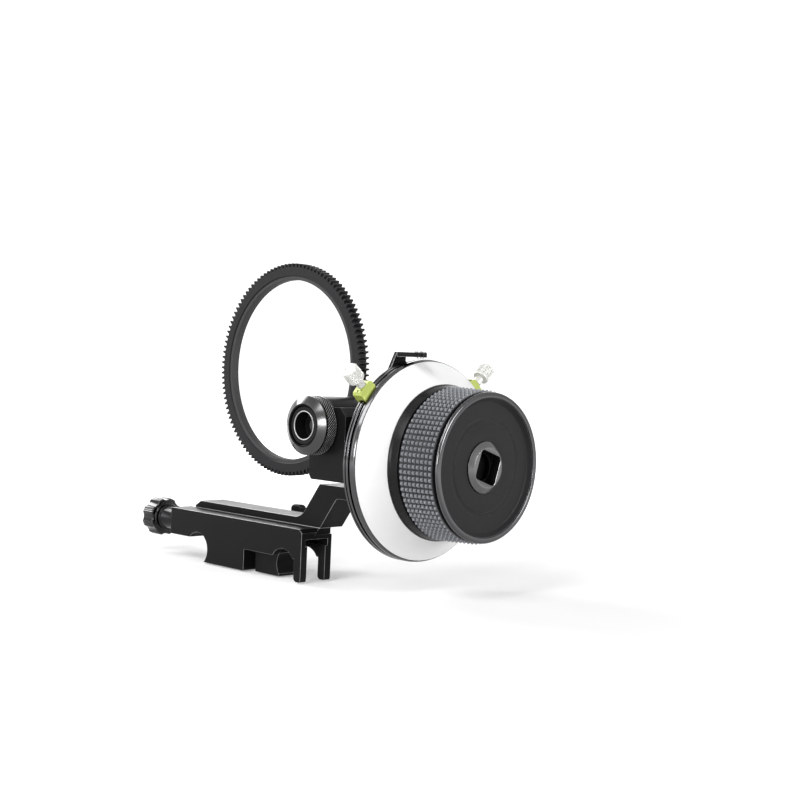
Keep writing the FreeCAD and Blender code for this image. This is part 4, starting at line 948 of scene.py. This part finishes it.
def makeLiner():
    # a plain sleeve, rounder at its inner edges
    front, back, inner, outer = spanAbout("ring_liner", lensCentre, (0, 1, 0))
    corners = [(front, inner, linerLook["inner"]), (front, outer, linerLook["outer"]),
               (back, outer, linerLook["outer"]), (back, inner, linerLook["inner"])]
    turnedPiece("ringLiner", "y", lensCentre, corners, 3, linerLook, "lens_ring", "liner_rubber",
                ["ring_liner"])


makeGearRing()
makeLiner()
print("lens gear ring ready")


# stop screws

# band: where the knurls start and end, from either face of the head; dish: radius, slope and depth
screwLook = {"knurls": 28, "deep": 0.26, "crest": 1.7, "lead": 0.9, "segments": 224, "stem": 1.2, "neck": 1.9,
             "neckLong": 3.5, "headLong": 6.4, "band": (1.0, 0.85), "stations": 23, "dish": (2.1, 0.3, 0.3)}


def makeStopScrew(name, body, node, joint):
    # knurled thumb screw on the joint's own axis; the head's middle band has crossed knurls
    axis = np.array(joints[joint]["axis"])
    axis = axis / np.linalg.norm(axis)
    centre = np.array([hinge(joint)[0], wheelCentre[1], wheelCentre[2]])
    side = np.array([1.0, 0, 0])
    across = np.cross(axis, side)
    low, high, _, outer = spanAbout(node, centre, axis)
    start, face = low - centre @ axis, high - centre @ axis
    back = face - screwLook["headLong"]
    neckStart = back - screwLook["neckLong"]
    stem, neck, deep = screwLook["stem"], screwLook["neck"], screwLook["deep"]
    floor = outer - deep
    bandFrom, bandTo = screwLook["band"]
    dish, dishSlope, dishDeep = screwLook["dish"]
    band = np.linspace(back + bandFrom, face - bandTo, screwLook["stations"])
    lower = roundCorners([(start, 0), (start, stem, 0.2), (neckStart, stem), (neckStart, neck, 0.15),
                          (back, neck), (back, outer - 0.2, 0.3), (back + bandFrom - 0.2, outer, 0.2),
                          (back + bandFrom - 0.05, floor)], 3, closed=False)
    upper = roundCorners([(face - bandTo + 0.1, floor), (face - bandTo + 0.2, outer, 0.1),
                          (face, outer - 0.3, 0.4), (face, dish, 0.2), (face - dishDeep, dish - dishSlope),
                          (face - dishDeep, 0)], 3, closed=False)
    profile = np.vstack([lower, np.column_stack([band, np.full(len(band), floor)]), upper])
    knurled = np.zeros((len(profile), 1))
    knurled[len(lower):len(lower) + len(band)] = 1.0
    angles = evenAngles(screwLook["segments"])
    along = profile[:, 0][:, None]
    lean = along / screwLook["lead"] / 2
    turns = angles * screwLook["knurls"] / turn
    ridges = np.minimum(knurlRidge(turns, lean), knurlRidge(turns, -lean))
    radius = profile[:, 1][:, None] + ridges * deep * screwLook["crest"] * knurled
    points = (centre + along[..., None] * axis + (radius * np.cos(angles))[..., None] * side
              + (radius * np.sin(angles))[..., None] * across)
    screw = (points, gridFaces(len(profile), len(angles), False, True))
    newPiece(name, [screw], body, "white_screw", [node], sharp=40, weld=True)


for letter in "ab":
    screw = f"stop_{letter}_screw"
    makeStopScrew("stopScrew" + letter.upper(), screw, "stop_screw_" + letter, screw + "_turn")
print("stop screws ready")


# bodies that keep the frame's shape, with rounded edges

edgeWidths = {"clamp_body": 0.45, "support_arm": 0.35, "gearbox_housing": 0.45, "gearbox_cover": 0.35,
              "side_cap": 0.3, "index_bracket": 0.25, "lock_lever": 0.4, "slide_guide": 0.3,
              "sliding_jaw": 0.3, "stop_block_a": 0.14, "stop_block_b": 0.14, "index_nut": 0.2}

cutEdge = specialFinish("cutEdge", "black_polished", colour=(0.21, 0.21, 0.213), rough=0.3)
for name, width in edgeWidths.items():
    softened(name, width, cutEdge if slotOf[name] == "black_anodised" else None)
print("edges rounded")


# stage and light

# sizes in metres; the floor's own light goes from near to far over the fade
stageLook = {"size": 6.0, "rise": 2.0, "bend": 0.8, "arcs": 17, "gap": 0.0006, "depth": 2.2, "colour": 0.7,
             "mottle": 0.03, "patches": 3.0, "rough": 0.9, "gloss": 0.1, "near": 0.3, "far": 1.1,
             "fade": (0.15, 0.7)}


def makeStage():
    # a floor that curves up into a backdrop: flat, a quarter circle, then a wall
    level = cadBox[0][2] - stageLook["gap"]
    bend, depth = stageLook["bend"], stageLook["depth"]
    arc = np.linspace(0, math.pi / 2, stageLook["arcs"])
    ahead = np.concatenate([[-stageLook["size"]], depth + bend * np.sin(arc), [depth + bend]])
    height = np.concatenate([[0.0], bend * (1 - np.cos(arc)), [bend + stageLook["rise"]]])
    heading = math.radians(cameraView["heading"])
    forward = np.array([-math.sin(heading), math.cos(heading)])
    side = np.array([math.cos(heading), math.sin(heading)])
    half = np.array([-1.0, 1.0]) * stageLook["size"]
    flat = ahead[:, None, None] * forward + half[None, :, None] * side
    points = np.concatenate([flat, (level + height)[:, None, None] + 0 * flat[..., :1]], -1).reshape(-1, 3)
    quads = gridFaces(len(ahead), 2, False, False)[:, ::-1]
    mesh = bpy.data.meshes.new("floor")
    mesh.from_pydata(points.tolist(), [], quads.tolist())
    mesh.shade_smooth()
    mesh.materials.append(makeFloorMaterial())
    floor = newObject("floor", mesh)


def makeFloorMaterial():
    material = bpy.data.materials.new("paleFloor")
    material.use_nodes = True
    tree = material.node_tree
    shader = tree.nodes["Principled BSDF"]
    where = newNode(tree, "TexCoord").outputs["Object"]
    shade = np.full(3, stageLook["colour"])
    mottle = noiseNode(tree, where, stageLook["patches"])
    away = newNode(tree, "VectorMath", {0: where})
    away.operation = "LENGTH"
    start, end = stageLook["fade"]
    glow = newNode(tree, "MapRange", {"Value": away.outputs["Value"], "From Min": start, "From Max": end,
                                      "To Min": stageLook["near"], "To Max": stageLook["far"]})
    glow.interpolation_type = "SMOOTHSTEP"
    setInputs(tree, shader, {
        "Base Color": blendColours(tree, mottle, shade, shade + stageLook["mottle"]),
        "Roughness": stageLook["rough"], "Specular IOR Level": stageLook["gloss"],
        "Emission Color": (1, 1, 1, 1),
        "Emission Strength": mathNode(tree, "MULTIPLY", glow.outputs["Result"], seenRay(tree, 1.0, 0.0))})
    # clear from below, so that the part's underside can be seen
    below = newNode(tree, "NewGeometry").outputs["Backfacing"]
    clear = newNode(tree, "BsdfTransparent").outputs[0]
    side = newNode(tree, "MixShader", {0: below, 1: shader.outputs[0], 2: clear})
    setInputs(tree, tree.nodes["Material Output"], {"Surface": side.outputs[0]})
    return material


def seenRay(tree, seen, unseen):
    # one strength for rays from the camera, also by way of a mirror or glass, and another for the rest
    path = newNode(tree, "LightPath").outputs
    sight = mathNode(tree, "ADD", path["Is Camera Ray"], path["Is Transmission Ray"])
    sight = mathNode(tree, "ADD", sight, path["Is Glossy Ray"], clamp=True)
    return mathNode(tree, "MULTIPLY_ADD", sight, seen - unseen, unseen)


# place: metres to the camera's right, towards the camera and up, from the aim
lamps = {
    "key": {"place": (-0.45, 0.65, 0.8), "size": (0.5, 0.5), "power": 7.0},
    "front": {"place": (-0.5, 0.95, 0.15), "size": (0.25, 0.25), "power": 5.0},
    "over": {"place": (-0.85, -0.62, 0.65), "size": (0.5, 0.5), "power": 9.0},
    "left": {"place": (-0.9, 0.1, 0.3), "size": (0.25, 0.6), "power": 1.5},
    "right": {"place": (0.85, 0.45, 0.2), "size": (0.4, 0.3), "power": 6.5},
    "back": {"place": (0.1, -1.0, 0.35), "size": (1.4, 0.4), "power": 5.0},
}
lampAim = (0.04, 0.02, 0.06)
worldLook = {"glow": 0.06, "seen": 1.0}


def makeLight():
    aim = Vector(lampAim)
    heading = math.radians(cameraView["heading"])
    right = Vector((math.cos(heading), math.sin(heading), 0))
    nearer = Vector((math.sin(heading), -math.cos(heading), 0))
    for name, lamp in lamps.items():
        data = bpy.data.lights.new(name, "AREA")
        data.shape = "RECTANGLE"
        data.size, data.size_y = lamp["size"]
        data.energy = lamp["power"]
        light = newObject(name, data)
        across, near, up = lamp["place"]
        light.location = aim + across * right + near * nearer + Vector((0, 0, up))
        light.rotation_euler = (aim - light.location).to_track_quat("-Z", "Y").to_euler()
    world = bpy.data.worlds.new("studio")
    scene.world = world
    world.use_nodes = True
    tree = world.node_tree
    strength = seenRay(tree, worldLook["seen"], worldLook["glow"])
    setInputs(tree, tree.nodes["Background"], {"Strength": strength, "Color": (1, 1, 1, 1)})


makeStage()
makeLight()
makeCamera()
scene.view_settings.view_transform = "Standard"
